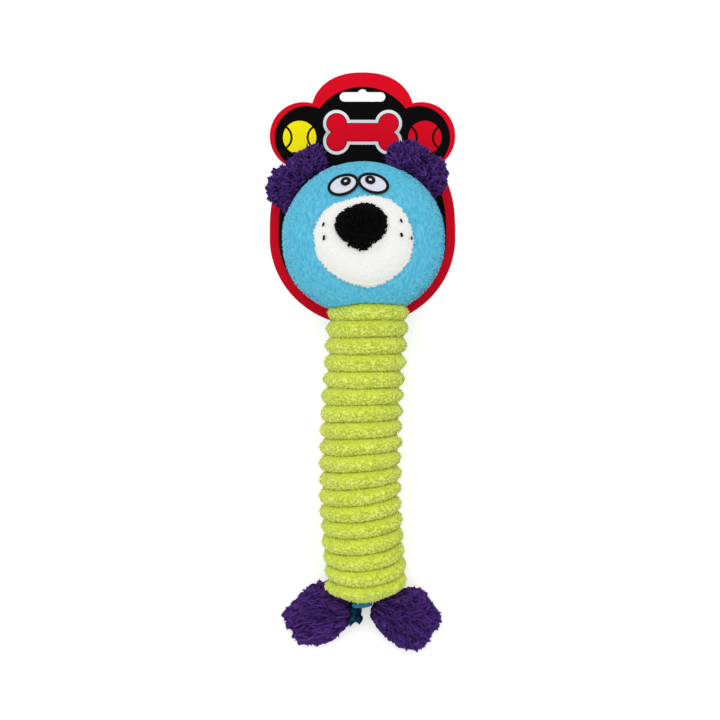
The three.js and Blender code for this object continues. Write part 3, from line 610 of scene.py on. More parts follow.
def moulded(name, colour, roughness, transmission=0.0):
    """Moulded plastic with a faint orange-peel surface."""
    finish = Finish(name, roughness=roughness, specular=0.5)
    peel = finish.noise(0.0009, 2.0)
    finish.set("Base Color", finish.mix(peel, colour, darker(colour, 0.92)))
    finish.set("Roughness", peel * 0.15 + (roughness - 0.05))
    finish.set("Transmission Weight", transmission)
    finish.bump(peel, 0.00005, 0.3)
    return finish.material


def felt(name, dark, light):
    """Felted cloth with loose fibres."""
    finish = Finish(name, roughness=0.95, specular=0.2, sheen=0.25, sheen_tint=light)
    fibres = finish.noise(0.0006, 3.0, (1, 0.4, 1))
    finish.set("Base Color", finish.mix(fibres, dark, light))
    finish.bump(fibres, 0.0003, 0.7)
    return finish.material


# Modelling


def take(piece):
    """Makes a piece the only one selected, and the active one."""
    bpy.ops.object.select_all(action="DESELECT")
    piece.select_set(True)
    bpy.context.view_layer.objects.active = piece


def new_piece(name):
    """Names the primitive that was just added and applies its place to its mesh."""
    piece = bpy.context.object
    piece.name = name
    piece.data.name = name
    bpy.ops.object.transform_apply(location=True, rotation=True, scale=True)
    return piece


def modify(piece, kind, **settings):
    """Adds a modifier with its settings and applies it."""
    take(piece)
    modifier = piece.modifiers.new(kind.lower(), kind)
    for key, value in settings.items():
        setattr(modifier, key, value)
    bpy.ops.object.modifier_apply(modifier=modifier.name)


def vectors_of(piece, what="co"):
    values = np.empty(len(piece.data.vertices) * 3, np.float32)
    piece.data.vertices.foreach_get(what, values)
    return values.reshape(-1, 3).astype(float)


def set_points(piece, points):
    piece.data.vertices.foreach_set("co", points.astype(np.float32).ravel())
    piece.data.update()


def join(name, pieces):
    """Joins pieces into one under a name."""
    take(pieces[0])
    for piece in pieces[1:]:
        piece.select_set(True)
    bpy.ops.object.join()
    pieces[0].name = name
    pieces[0].data.name = name
    return pieces[0]


def paint(piece, *materials):
    piece.data.materials.clear()
    for material in materials:
        piece.data.materials.append(material)


def nap(piece, size, height):
    """Raises a fine unevenness on a surface."""
    texture = bpy.data.textures.new("nap", "CLOUDS")
    texture.noise_scale = size
    texture.noise_depth = 1
    texture.noise_basis = "ORIGINAL_PERLIN"
    modify(piece, "DISPLACE", texture=texture, texture_coords="LOCAL", strength=height, mid_level=0.5)


def start_edit(action="SELECT"):
    """Enters edit mode with everything selected, or nothing."""
    bpy.ops.object.mode_set(mode="EDIT")
    bpy.ops.mesh.select_all(action=action)


def close_edit():
    """Turns the faces outwards and leaves edit mode."""
    bpy.ops.mesh.select_all(action="SELECT")
    bpy.ops.mesh.normals_make_consistent(inside=False)
    bpy.ops.object.mode_set(mode="OBJECT")


def extrude(move):
    bpy.ops.mesh.extrude_region_move(TRANSFORM_OT_translate={"value": move})


def smoothstep(values):
    share = np.clip(values, 0, 1)
    return share * share * (3 - 2 * share)


def lumps(points, size, seed):
    """Smooth noise from -1 to 1 at each point."""
    offset = Vector((seed * 3.1, seed * 1.7, seed * 0.9))
    return np.array([noise.noise(Vector(p) / size + offset) for p in points])


def from_photo(x, y):
    """A place on the toy, in X and Y, from a pixel of the photograph."""
    return (x - PHOTO_ZERO[0]) * PIXEL, (PHOTO_ZERO[1] - y) * PIXEL


def closed_curve(points, steps=24):
    """Places along the smooth closed curve through a few points."""
    before, after, beyond = (np.roll(points, shift, axis=0) for shift in (1, -1, -2))
    share = np.linspace(0, 1, steps, endpoint=False)[:, None, None]
    first = (after - before) * share
    second = (2 * before - 5 * points + 4 * after - beyond) * share**2
    third = (3 * points - before - 3 * after + beyond) * share**3
    return (points + (first + second + third) / 2).transpose(1, 0, 2).reshape(-1, 2)


def swell_outline(piece, outline, shrink, front, back, fullness):
    """Takes a unit sphere to a stuffed form whose outline in X and Y runs a little inside some points."""
    middle, reach_at = reach_of(outline, shrink)
    x, y, z = vectors_of(piece).T
    around = np.arctan2(y, x)
    rise = np.arcsin(np.clip(z, -1, 1))
    reach = reach_at(around) * np.cos(rise) ** (2 / fullness)
    across, along = middle[0] + reach * np.cos(around), middle[1] + reach * np.sin(around)
    depth = np.where(z >= 0, front, back) * signed_power(np.sin(rise), fullness)
    set_points(piece, np.stack([across, along, depth], axis=1))


def signed_power(values, power):
    return np.sign(values) * np.abs(values) ** (2 / power)


def ball(name, sides, rings):
    bpy.ops.mesh.primitive_uv_sphere_add(segments=sides, ring_count=rings, radius=1)
    piece = new_piece(name)
    bpy.ops.object.shade_smooth()
    return piece


# Locks, stitches and pile: each is modelled once and laid many times


def model_strand(name, sides, shape):
    """A strand that stands along Z from the origin, one unit long. For each step, shape gives its lean
    towards X in degrees, and its radius."""
    bpy.ops.mesh.primitive_circle_add(vertices=sides, radius=shape[0][1], fill_type="NGON")
    strand = new_piece(name)
    start_edit()
    step = 1 / (len(shape) - 1)
    centre = Vector((0, 0, 0))
    for (_, before), (lean, radius) in zip(shape, shape[1:]):
        lean = math.radians(lean)
        move = Vector((math.sin(lean), 0, math.cos(lean))) * step
        centre = centre + move
        extrude(move)
        size = radius / before
        bpy.ops.transform.resize(value=(size, size, size), center_override=centre)
    close_edit()
    bpy.ops.object.shade_smooth()
    return strand


def model_capsule(name):
    """A stitch, one unit long and one unit thick, that lies along X."""
    bpy.ops.mesh.primitive_uv_sphere_add(segments=8, ring_count=6, radius=0.5, rotation=(0, math.pi / 2, 0))
    stitch = new_piece(name)
    points = vectors_of(stitch)
    points[:, 0] = signed_power(points[:, 0] * 2, 4) / 2
    set_points(stitch, points)
    bpy.ops.object.shade_smooth()
    return stitch


def lay_copies(name, strand, matrices):
    """One mesh that holds a copy of a strand at each matrix. The strand itself is kept."""
    mesh = strand.data
    points = np.c_[vectors_of(strand), np.ones(len(mesh.vertices))]
    corners = np.empty(len(mesh.loops), np.int64)
    mesh.loops.foreach_get("vertex_index", corners)
    starts = np.empty(len(mesh.polygons), np.int64)
    mesh.polygons.foreach_get("loop_start", starts)
    count = len(matrices)
    laid = np.einsum("nij,vj->nvi", matrices, points)[:, :, :3].reshape(-1, 3)
    shift = np.arange(count)[:, None]
    made = bpy.data.meshes.new(name)
    made.vertices.add(len(laid))
    made.vertices.foreach_set("co", laid.astype(np.float32).ravel())
    made.loops.add(len(corners) * count)
    made.loops.foreach_set("vertex_index", (corners + shift * len(points)).ravel().astype(np.int32))
    made.polygons.add(len(starts) * count)
    made.polygons.foreach_set("loop_start", (starts + shift * len(corners)).ravel().astype(np.int32))
    made.polygons.foreach_set("use_smooth", np.ones(len(starts) * count, bool))
    made.update(calc_edges=True)
    heights = np.tile(np.clip(points[:, 2], 0, 1), count)
    shades = np.repeat(np.random.default_rng(count).random(count), len(points))
    for attribute, values in (("tip", heights), ("strand", shades)):
        made.attributes.new(attribute, "FLOAT", "POINT").data.foreach_set("value", values.astype(np.float32))
    piece = bpy.data.objects.new(name, made)
    bpy.context.scene.collection.objects.link(piece)
    return piece


def unit(vectors):
    return vectors / np.maximum(np.linalg.norm(vectors, axis=-1, keepdims=True), 1e-12)


def in_fixed_order(triangles):
    """Sorts triangles by their corners, because a new ball's faces come in another order on each run."""
    first = triangles.argmin(axis=1)[:, None]
    triangles = np.take_along_axis(triangles, (first + np.arange(3)) % 3, axis=1)
    return triangles[np.lexsort(triangles.T)]


def scattered(piece, count, rng, keep=None):
    """Random places on a piece, evenly over its area, with the way that the surface faces there."""
    mesh = piece.data
    mesh.calc_loop_triangles()
    triangles = np.empty(len(mesh.loop_triangles) * 3, np.int64)
    mesh.loop_triangles.foreach_get("vertices", triangles)
    triangles = in_fixed_order(triangles.reshape(-1, 3))
    points, facing = vectors_of(piece), vectors_of(piece, "normal")
    corners = points[triangles]
    areas = np.linalg.norm(np.cross(corners[:, 1] - corners[:, 0], corners[:, 2] - corners[:, 0]), axis=1)
    if keep is not None:
        areas = areas * keep(corners.mean(axis=1), facing[triangles].mean(axis=1))
    chosen = rng.choice(len(areas), count, p=areas / areas.sum())
    shares = rng.dirichlet((1, 1, 1), count)[:, :, None]
    return (corners[chosen] * shares).sum(axis=1), unit((facing[triangles[chosen]] * shares).sum(axis=1))


def matrices_of(ahead, side, up, places):
    """A matrix for each place, from the vectors that its copy's X, Y and Z become."""
    matrices = np.zeros((len(places), 4, 4))
    matrices[:, :3] = np.stack([ahead, side, up, places], axis=-1)
    matrices[:, 3, 3] = 1
    return matrices


def standing(places, facing, comb, rng, lean, length, thickness, sway, spread=0.25, wild=0.15):
    """Matrices for strands that stand on a surface, lean the way that comb gives and bend on that way.
    They stray from it by sway, in size by spread and in lean by wild."""
    count = len(places)
    outwards = np.clip((unit(comb) * facing).sum(axis=1, keepdims=True), 0, 1)
    comb = comb + rng.normal(0, sway, (count, 3))
    comb = unit(comb - facing * (comb * facing).sum(axis=1, keepdims=True))
    lean = lean * (1 - UPRIGHT_SHARE * outwards) + rng.normal(0, wild, (count, 1))
    up = unit(facing * np.cos(lean) + comb * np.sin(lean))
    ahead = unit(comb - up * (comb * up).sum(axis=1, keepdims=True))
    tall = length * rng.uniform(1 - spread, 1 + spread, (count, 1))
    thick = thickness * rng.uniform(1 - spread, 1 + spread, (count, 1))
    return matrices_of(ahead * tall, np.cross(up, ahead) * thick, up * tall, places)


def add_pile(piece, count, pile, comb, seed, keep):
    """Covers a piece with short fibres, as part of its mesh."""
    rng = np.random.default_rng(seed)
    places, facing = scattered(piece, count, rng, keep)
    matrices = standing(places - facing * PILE_SINK, facing, comb(places), rng, **pile)
    fibres = lay_copies(piece.name + "_pile", fibre, matrices)
    paint(fibres, *piece.data.materials)
    covered = join(piece.name, [piece, fibres])
    keep_off_floor(covered)
    return covered


def keep_off_floor(piece):
    points = vectors_of(piece)
    points[:, 2] = np.maximum(points[:, 2], FLOOR_CLEARANCE)
    set_points(piece, points)


# Cloth


def swell_as_cloth(piece, sewn, voxel):
    """Swells a coarse copy of a sewn skin as cloth, held where it is sewn, and moves the skin with it by no
    more than a voxel. The skin keeps its mean size, so its panels stand out and its seams are drawn in."""
    take(piece)
    bpy.ops.object.duplicate()
    cloth = bpy.context.object
    modify(cloth, "REMESH", mode="VOXEL", voxel_size=voxel)
    before = vectors_of(cloth)
    cloth.vertex_groups.new(name="sewn").add(np.flatnonzero(sewn(before)).tolist(), 1, "REPLACE")
    settings = cloth.modifiers.new("cloth", "CLOTH").settings
    settings.use_pressure = True
    settings.uniform_pressure_force = CLOTH_PRESSURE
    settings.vertex_group_mass = "sewn"
    settings.effector_weights.gravity = 0
    for step in range(1, CLOTH_STEPS + 1):
        bpy.context.scene.frame_set(step)
    take(cloth)
    bpy.ops.object.modifier_apply(modifier="cloth")
    bpy.context.scene.frame_set(1)
    move = vectors_of(cloth) - before
    move *= np.minimum(1, voxel / np.maximum(np.linalg.norm(move, axis=1, keepdims=True), 1e-9))
    bpy.data.objects.remove(cloth)
    tree = kdtree.KDTree(len(before))
    for i, place in enumerate(before):
        tree.insert(place, i)
    tree.balance()
    points, facing = vectors_of(piece), vectors_of(piece, "normal")
    shift = np.empty_like(points)
    for i, place in enumerate(points):
        near = tree.find_n(place, NEAR_POINTS)
        weights = np.array([1 / (distance + voxel * NEAR_SHARE) ** 2 for _, _, distance in near])
        shift[i] = weights @ move[[index for _, index, _ in near]] / weights.sum()
    swelling = (shift * facing).sum(axis=1).mean()
    set_points(piece, points + shift - facing * swelling)


# Body centre line


def span(*nodes):
    """The lowest and highest corners of some nodes of the frame."""
    boxes = [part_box(node) for node in nodes]
    low = Vector([min(low[i] for low, _ in boxes) for i in range(3)])
    high = Vector([max(high[i] for _, high in boxes) for i in range(3)])
    return low, high


head_low, head_high = span("head_front_panel", "head_back_panel")
HEAD_REST_Z = head_low.z
HEAD_HALF_WIDTH = (head_high.x - head_low.x) / 2
SEAM_Z = (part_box("head_front_panel")[0].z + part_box("head_back_panel")[1].z) / 2
HEAD_HALF_DEPTH = head_high.z - SEAM_Z
HEAD_CENTRE = Vector(((head_high.x + head_low.x) / 2, head_high.y - HEAD_UP, SEAM_Z))
BODY_LENGTH = RIB_COUNT * RIB_PITCH


def body_line(along):
    """The tube's centre line, and the ways across it and up from it, at each place along it."""
    inside = np.clip(along, 0, BODY_LENGTH)
    share = inside / BODY_LENGTH
    turn = np.pi * share
    slope_x = 2 * BODY_SWAY * np.pi * np.cos(2 * turn) - BODY_BOW * np.pi * np.cos(turn) - BODY_DRIFT
    slope_x = slope_x / BODY_LENGTH
    slope_z = -2 * BODY_DROP * share / BODY_LENGTH
    beyond = along - inside
    bowed = BODY_SWAY * np.sin(2 * turn) - BODY_BOW * np.sin(turn) - BODY_DRIFT * share
    x = HEAD_CENTRE.x + BODY_X + bowed + slope_x * beyond
    y = HEAD_CENTRE.y - NECK_BELOW_HEAD - along
    z = SEAM_Z - BODY_DROP * share**2 + slope_z * beyond
    forward = unit(np.stack([slope_x, -np.ones_like(slope_x), slope_z], axis=-1))
    side = unit(np.cross(np.array([0.0, 0.0, 1.0]), forward))
    return np.stack([x, y, z], axis=-1), side, np.cross(forward, side), forward


def body_point(along):
    return Vector(body_line(np.array(float(along)))[0])


def rib_place(rib):
    """How far along the body a rib starts. Past the last rib, one rib counts as one pitch."""
    inside = np.clip(rib, 0, RIB_COUNT)
    return rib * RIB_PITCH + RIB_SAG * np.sin(np.pi * inside / RIB_COUNT)


# Head


def head_height(x, y):
    """How high the front of the head stands over its seam at a place in X and Y from its middle."""
    power = np.where(y >= 0, HEAD_UPPER_POWER, HEAD_LOWER_POWER)
    half_height = np.where(y >= 0, HEAD_UP, HEAD_DOWN)
    ring = (np.abs(x / HEAD_HALF_WIDTH) ** power + np.abs(y / half_height) ** power) ** (1 / power)
    return HEAD_HALF_DEPTH * np.clip(1 - ring**HEAD_FULLNESS, 0, 1) ** (1 / HEAD_FULLNESS)


def shape_head(head):
    """Draws the head in where the tube starts, gathers it there, and sinks its side seam and chin seam."""
    points = vectors_of(head)
    neck = body_point(0)
    across, depth = points[:, 0] - neck.x, points[:, 2] - neck.z
    radius = np.hypot(across, depth)
    overhang = smoothstep((radius - NECK_RADIUS) / (NECK_EDGE_RADIUS - NECK_RADIUS)) * NECK_OVERHANG
    overhang = overhang * (1 - NECK_FRONT_SHARE * (depth / np.maximum(radius, 1e-6)) ** 2)
    points[:, 1] = np.maximum(points[:, 1], neck.y - overhang)
    set_points(head, points)
    facing = vectors_of(head, "normal")
    distance = np.hypot(np.maximum(radius - NECK_RADIUS, 0), points[:, 1] - neck.y)
    near = smoothstep(1 - distance / GATHER_REACH) * smoothstep((points[:, 1] - neck.y) / GATHER_START)
    turns = GATHERS * np.arctan2(depth, across) + GATHER_SWAY * lumps(points, GATHER_WANDER, 1)
    uneven = (1 - GATHER_UNEVEN_SHARE) + GATHER_UNEVEN_SHARE * lumps(points, GATHER_LUMP, 2)
    seam = smoothstep(1 - np.abs(points[:, 2] - SEAM_Z) / SIDE_SEAM_HALF_WIDTH)
    swelling = lumps(points, HEAD_LUMP, 3)
    chin = smoothstep(1 - np.abs(points[:, 0] - from_photo(CHIN_SEAM_PIXEL, 0)[0]) / CHIN_SEAM_HALF_WIDTH)
    chin = chin * (points[:, 2] > SEAM_Z + FACE_HEIGHT) * (points[:, 1] < muzzle_middle.y)
    move = GATHER_DEPTH * np.cos(turns) * uneven * near - SIDE_SEAM_DEPTH * seam - CHIN_SEAM_DEPTH * chin
    points = points + facing * (move + HEAD_UNEVENNESS * swelling)[:, None]
    points[:, 2] = np.maximum(points[:, 2], HEAD_REST_Z)
    set_points(head, points)


def inside_eye(places, grow):
    """Where places in X and Y lie within either eye's patch."""
    found = np.zeros(len(places), bool)
    for eye in EYES:
        x, y = places[:, 0] - eye["outline"].x, places[:, 1] - eye["outline"].y
        along = x * math.cos(eye["tilt"]) + y * math.sin(eye["tilt"])
        across = y * math.cos(eye["tilt"]) - x * math.sin(eye["tilt"])
        half_width, half_height = eye["size"]
        found |= (along / (half_width + grow)) ** 2 + (across / (half_height + grow)) ** 2 < 1
    return found


def make_head():
    """A ball taken to the head's rounded outline in X and Y, which swells in Z."""
    head = ball("head_skin", HEAD_SIDES, HEAD_RINGS)
    x, y, z = vectors_of(head).T
    around = np.arctan2(y, x)
    rise = np.arcsin(np.clip(z, -1, 1))
    reach = np.cos(rise) ** (2 / HEAD_FULLNESS)
    power = np.where(y >= 0, HEAD_UPPER_POWER, HEAD_LOWER_POWER)
    up_or_down = np.where(y >= 0, HEAD_UP - HEAD_SKIN_INSET, HEAD_DOWN - HEAD_SKIN_INSET)
    across = (HEAD_HALF_WIDTH - HEAD_SKIN_INSET) * signed_power(np.cos(around), power) * reach
    along = up_or_down * signed_power(np.sin(around), power) * reach
    depth = (HEAD_HALF_DEPTH - HEAD_SKIN_INSET) * signed_power(np.sin(rise), HEAD_FULLNESS)
    set_points(head, np.stack([across, along, depth], axis=1) + np.array(HEAD_CENTRE))
    swell_as_cloth(head, sewn_on_head, HEAD_VOXEL)
    shape_head(head)
    faces = [tuple(face.vertices) for face in head.data.polygons]
    head_skin["surface"] = bvhtree.BVHTree.FromPolygons(vectors_of(head), faces)
    nap(head, *HEAD_NAP)
    paint(head, materials["blue_plush"])
    add_pile(head, HEAD_FIBRES, HEAD_PILE, comb_down, HEAD_SEED, head_pile_area)
    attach(head, "head")
    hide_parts("head_front_panel", "head_back_panel", "head_filling")


def ring_round(places, middle, half):
    """How far out from a middle places in X and Y lie, where 1 is on the oval with the given half sizes."""
    return np.hypot((places[:, 0] - middle.x) / half.x, (places[:, 1] - middle.y) / half.y)


def held_round(places, middle, half, ring, half_width):
    """Where cloth is held in a ring round a middle."""
    return np.abs(ring_round(places, middle, half) - ring) < half_width


def from_neck(places):
    """How far places lie from the middle of the neck, seen along the tube."""
    neck = body_point(0)
    return np.hypot(places[:, 0] - neck.x, places[:, 2] - neck.z)


def sewn_on_head(places):
    """Where the head's cloth is held: at its side seam, the neck, the muzzle's edge and the eyes."""
    face = places[:, 2] > SEAM_Z + FACE_HEIGHT
    at_muzzle = held_round(places, muzzle_middle, muzzle_half, *MUZZLE_HOLD)
    held = (np.abs(places[:, 2] - SEAM_Z) < SIDE_SEAM_HOLD) | (from_neck(places) < NECK_EDGE_RADIUS)
    return held | (at_muzzle & face) | (inside_eye(places, EYE_HOLD) & face)


def sewn_on_muzzle(places):
    """Where the muzzle's cloth is held: at its rim and round the nose."""
    at_nose = held_round(places, nose_middle, nose_half, *NOSE_HOLD)
    return (places[:, 2] < SEAM_Z + HEAD_HALF_DEPTH - MUZZLE_SINK) | at_nose


def head_pile_area(places, _):
    """Fibres stand on the head's sides, fewer towards its face. Its rest, neck, muzzle and eyes stay bare."""
    front = places[:, 2] > SEAM_Z
    bare = places[:, 2] < HEAD_REST_Z + PILE_GAP
    bare |= inside_eye(places, -EYE_PILE_GAP) & front
    bare |= (ring_round(places, muzzle_middle, muzzle_half) < MUZZLE_BARE_SHARE) & front
    bare |= from_neck(places) < NECK_RADIUS - PILE_GAP
    return ~bare * np.exp(-(((places[:, 2] - SEAM_Z) / FACE_PILE_FADE) ** 2))


def comb_down(places):
    """Pile brushed down the face and out to its sides."""
    way = np.zeros_like(places)
    way[:, 0] = (places[:, 0] - HEAD_CENTRE.x) * HEAD_COMB_SPREAD
    way[:, 1] = -1
    return way


muzzle_low, muzzle_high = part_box("muzzle_cover")
muzzle_middle = (muzzle_low + muzzle_high) / 2
muzzle_half = (muzzle_high - muzzle_low) / 2
nose_low, nose_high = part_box("nose")
nose_middle = (nose_low + nose_high) / 2
nose_half = (nose_high - nose_low) / 2


def make_muzzle():
    muzzle = ball("muzzle", MUZZLE_SIDES, MUZZLE_RINGS)
    widest = SEAM_Z + HEAD_HALF_DEPTH - MUZZLE_SINK
    outline = [from_photo(*pixel) for pixel in MUZZLE_OUTLINE]
    swell_outline(muzzle, outline, MUZZLE_FUR, muzzle_high.z - widest, MUZZLE_SINK, MUZZLE_FULLNESS)
    muzzle.data.transform(Matrix.Translation((0, 0, widest)))
    swell_as_cloth(muzzle, sewn_on_muzzle, MUZZLE_VOXEL)
    shape_muzzle(muzzle, widest)
    nap(muzzle, *MUZZLE_NAP)
    paint(muzzle, materials["white_plush"])
    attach(muzzle, "head")
    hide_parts("muzzle_cover", "muzzle_filling")
    return muzzle


def shape_muzzle(muzzle, widest):
    """A seam from the nose down to the lower edge, a dip round the nose, tufts at the edge and soft lumps."""
    points, facing = vectors_of(muzzle), vectors_of(muzzle, "normal")
    x, y, height = points[:, 0] - muzzle_middle.x, points[:, 1] - muzzle_middle.y, points[:, 2] - widest
    front = smoothstep(height / MUZZLE_RIM)
    around = np.stack([np.arctan2(y, x), x * 0, x * 0], axis=1)
    fringe = np.abs(lumps(around, FRINGE_WIDTH, 16)) * smoothstep((FRINGE_TOP - height) / FRINGE_FADE)
    seam = smoothstep(1 - np.abs(x) / MUZZLE_SEAM_HALF_WIDTH) * (y < 0) * front
    round_nose = np.abs(ring_round(points, nose_middle, nose_half) - 1) / NOSE_DIP_SHARE
    dip = smoothstep(1 - round_nose) * front
    move = lumps(points, MUZZLE_LUMP, 5) * MUZZLE_UNEVENNESS - seam * MUZZLE_SEAM_DEPTH - dip * NOSE_DIP
    move = move + (FRINGE_RISE - fringe * FRINGE_CUT) * FRINGE_DEPTH * (fringe > 0)
    set_points(muzzle, points + facing * move[:, None])


def comb_from_nose(places):
    way = places - np.array(nose_middle)
    way[:, 2] = 0
    return unit(way)


def make_nose():
    nose = ball("nose_pad", NOSE_SIDES, NOSE_RINGS)
    widest = muzzle_high.z - NOSE_SINK
    outline = [from_photo(*pixel) for pixel in NOSE_OUTLINE]
    swell_outline(nose, outline, NOSE_FUR, nose_high.z - widest - NOSE_PAD_DROP, NOSE_SINK, NOSE_FULLNESS)
    nose.data.transform(Matrix.Translation((0, 0, widest)))
    nap(nose, *NOSE_NAP)
    rng = np.random.default_rng(NOSE_SEED)
    places, facing = scattered(nose, NOSE_HAIRS, rng, lambda at, _: at[:, 2] > widest - NOSE_HAIR_EDGE)
    matrices = standing(places, facing, comb_from_nose(places), rng, **NOSE_HAIR)
    nose = join("nose_fleece", [nose, lay_copies("nose_hairs", hair, matrices)])
    paint(nose, materials["black_fleece"])
    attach(nose, "head")
    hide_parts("nose")


# Embroidered eyes and whisker stitches


def eye_of(side):
    middles = {}
    for part in ("outline", "pupil"):
        low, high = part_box(f"{side}_eye_{part}")
        middles[part] = (low + high) / 2 - EYE_DROP
    return {"side": side, "tilt": math.radians(EYE_TILTS[side]), "size": EYE_HALF_SIZES[side], **middles}


EYES = [eye_of("left"), eye_of("right")]
head_skin = {}  # the head's surface, once it is made


def on_head(x, y, lift):
    """Places on the front of the head, raised from it, with the way that it faces there."""
    step = 0.0005
    from_x, from_y = x - HEAD_CENTRE.x, y - HEAD_CENTRE.y
    slope_x = (head_height(from_x + step, from_y) - head_height(from_x - step, from_y)) / (2 * step)
    slope_y = (head_height(from_x, from_y + step) - head_height(from_x, from_y - step)) / (2 * step)
    facing = unit(np.stack([-slope_x, -slope_y, np.ones_like(slope_x)], axis=-1))
    down = Vector((0, 0, -1))
    heights = [head_skin["surface"].ray_cast(Vector((*place, 1)), down)[0].z for place in zip(x, y)]
    return np.stack([x, y, heights], axis=-1) + facing * lift, facing


def lay_stitches(name, starts, ends, lift, material):
    """Threads laid on the head from each start to each end, both places in X and Y."""
    first, facing = on_head(starts[:, 0], starts[:, 1], lift)
    last, _ = on_head(ends[:, 0], ends[:, 1], lift)
    length = np.linalg.norm(last - first, axis=1, keepdims=True)
    ahead = (last - first) / length
    side = unit(np.cross(facing, ahead))
    up = np.cross(ahead, side) * STITCH_THICKNESS
    ahead = ahead * (length + STITCH_THICKNESS)
    stitches = lay_copies(name, stitch, matrices_of(ahead, side * STITCH_THICKNESS, up, (first + last) / 2))
    paint(stitches, material)
    return stitches


def eye_plane(eye, along, across, part):
    """Places in X and Y from those along and across an eye's long axis, from the middle of a part of it."""
    x = eye[part].x + along * math.cos(eye["tilt"]) - across * math.sin(eye["tilt"])
    y = eye[part].y + along * math.sin(eye["tilt"]) + across * math.cos(eye["tilt"])
    return np.stack([x, y], axis=-1)


def filled_oval(eye, part, half_width, half_height, pitch, run, rng):
    """Starts and ends of fill stitches that run along an eye, offset from row to row like bricks."""
    starts, ends = [], []
    rows = int(half_height / pitch)
    for row in range(-rows, rows + 1):
        across = row * pitch
        reach = half_width * math.sqrt(max(1 - (across / half_height) ** 2, 0))
        at = -reach - run * rng.uniform(0, ROW_SHIFT_SHARE)
        while at < reach:
            begin, finish = max(at, -reach), min(at + run, reach)
            if finish - begin > SHORTEST_SHARE * pitch:
                starts.append((begin, across))
                ends.append((finish, across))
            at += run
    return [eye_plane(eye, *np.array(places).T, part) for places in (starts, ends)]


def ring_stitches(eye, part, half_width, half_height, width, count):
    """Satin stitches side by side across a ring, each a little aslant."""
    turns = np.linspace(0, 2 * np.pi, count, endpoint=False)
    ends = []
    for turn, inset in ((turns, 0), (turns + SATIN_SLANT * 2 * np.pi / count, width)):
        along, across = (half_width - inset) * np.cos(turn), (half_height - inset) * np.sin(turn)
        ends.append(eye_plane(eye, along, across, part))
    return ends


def make_eye(eye):
    rng = np.random.default_rng(EYE_SEED)
    side, dark, pale = eye["side"], materials["black_thread"], materials["white_thread"]
    inner_size = (size - EYE_FILL_INSET for size in eye["size"])
    white_fill = filled_oval(eye, "outline", *inner_size, *EYE_FILL, rng)
    white = lay_stitches(f"{side}_eye_fill", *white_fill, EYE_FILL_LIFT, pale)
    rim_stitches = ring_stitches(eye, "outline", *eye["size"], EYE_RIM, EYE_RIM_STITCHES)
    rim = lay_stitches(f"{side}_eye_rim", *rim_stitches, EYE_RIM_LIFT, dark)
    pupil_fill = filled_oval(eye, "pupil", *PUPIL_FILL_SIZE, *PUPIL_FILL, rng)
    pupil_rim = ring_stitches(eye, "pupil", *PUPIL_SIZE, PUPIL_RIM, PUPIL_RIM_STITCHES)
    pupil = lay_stitches("pupil_fill", *pupil_fill, PUPIL_FILL_LIFT, dark)
    pupil = join(f"{side}_eye_dot", [pupil, lay_stitches("pupil_rim", *pupil_rim, PUPIL_RIM_LIFT, dark)])
    glint_fill = filled_oval(eye, "pupil", *GLINT_SIZE, *GLINT_FILL, rng)
    glint = lay_stitches(f"{side}_eye_glint", *glint_fill, GLINT_LIFT, pale)
    for piece, node, slot in (
        (white, "white", "eye_thread"), (rim, "outline", "black_thread"), (pupil, "pupil", "black_thread")
    ):
        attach(piece, "head")
        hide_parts(f"{side}_eye_{node}")
    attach(glint, "head")


def make_whiskers(muzzle):
    """Short black stitches that are sunk in the muzzle's pile."""
    matrices = []
    for x, y, long, wide, lean in WHISKERS:
        x, y = from_photo(x, y)
        _, place, facing, _ = muzzle.ray_cast(Vector((x, y, 1)), Vector((0, 0, -1)))
        way = Vector((lean, 1, 0))
        way = (way - facing * way.dot(facing)).normalized()
        side = facing.cross(way)
        turned = Matrix((way * long * PIXEL, side * wide * PIXEL, facing * WHISKER_DEPTH)).transposed()
        matrices.append(np.array(Matrix.Translation(place + facing * WHISKER_LIFT) @ turned.to_4x4()))
    whiskers = lay_copies("whisker_stitches", stitch, np.array(matrices))
    paint(whiskers, materials["black_thread"])
    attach(whiskers, "head")


# Ribbed tube


def rib_radius(share):
    """Radius of a full rib from one groove to the next."""
    swelling = (1 - abs(2 * share - 1) ** RIB_ROUNDNESS) ** RIB_CREST_POWER
    return RIB_GROOVE_RADIUS + (RIB_CREST_RADIUS - RIB_GROOVE_RADIUS) * swelling


def closing_radius(share):
    """Radius of the closing rib, which swells like the others and then draws in to the base."""
    if share < CLOSING_CREST_SHARE:
        return rib_radius(share / CLOSING_CREST_SHARE / 2)
    beyond = (share - CLOSING_CREST_SHARE) / (1 - CLOSING_CREST_SHARE)
    drawn = (1 - beyond**CLOSING_TAPER_POWER) ** CLOSING_DRAW_POWER
    return RIB_CREST_RADIUS * (CLOSING_END_SHARE + (1 - CLOSING_END_SHARE) * drawn)


def extrude_rings(along, radii, step):
    """Extrudes the selected ring down -Y, one step for each radius. Starts at the first radius."""
    for before, radius in zip(radii, radii[1:]):
        along += step
        extrude((0, -step, 0))
        size = radius / before
        bpy.ops.transform.resize(value=(size, 1, size), center_override=(0, -along, 0))


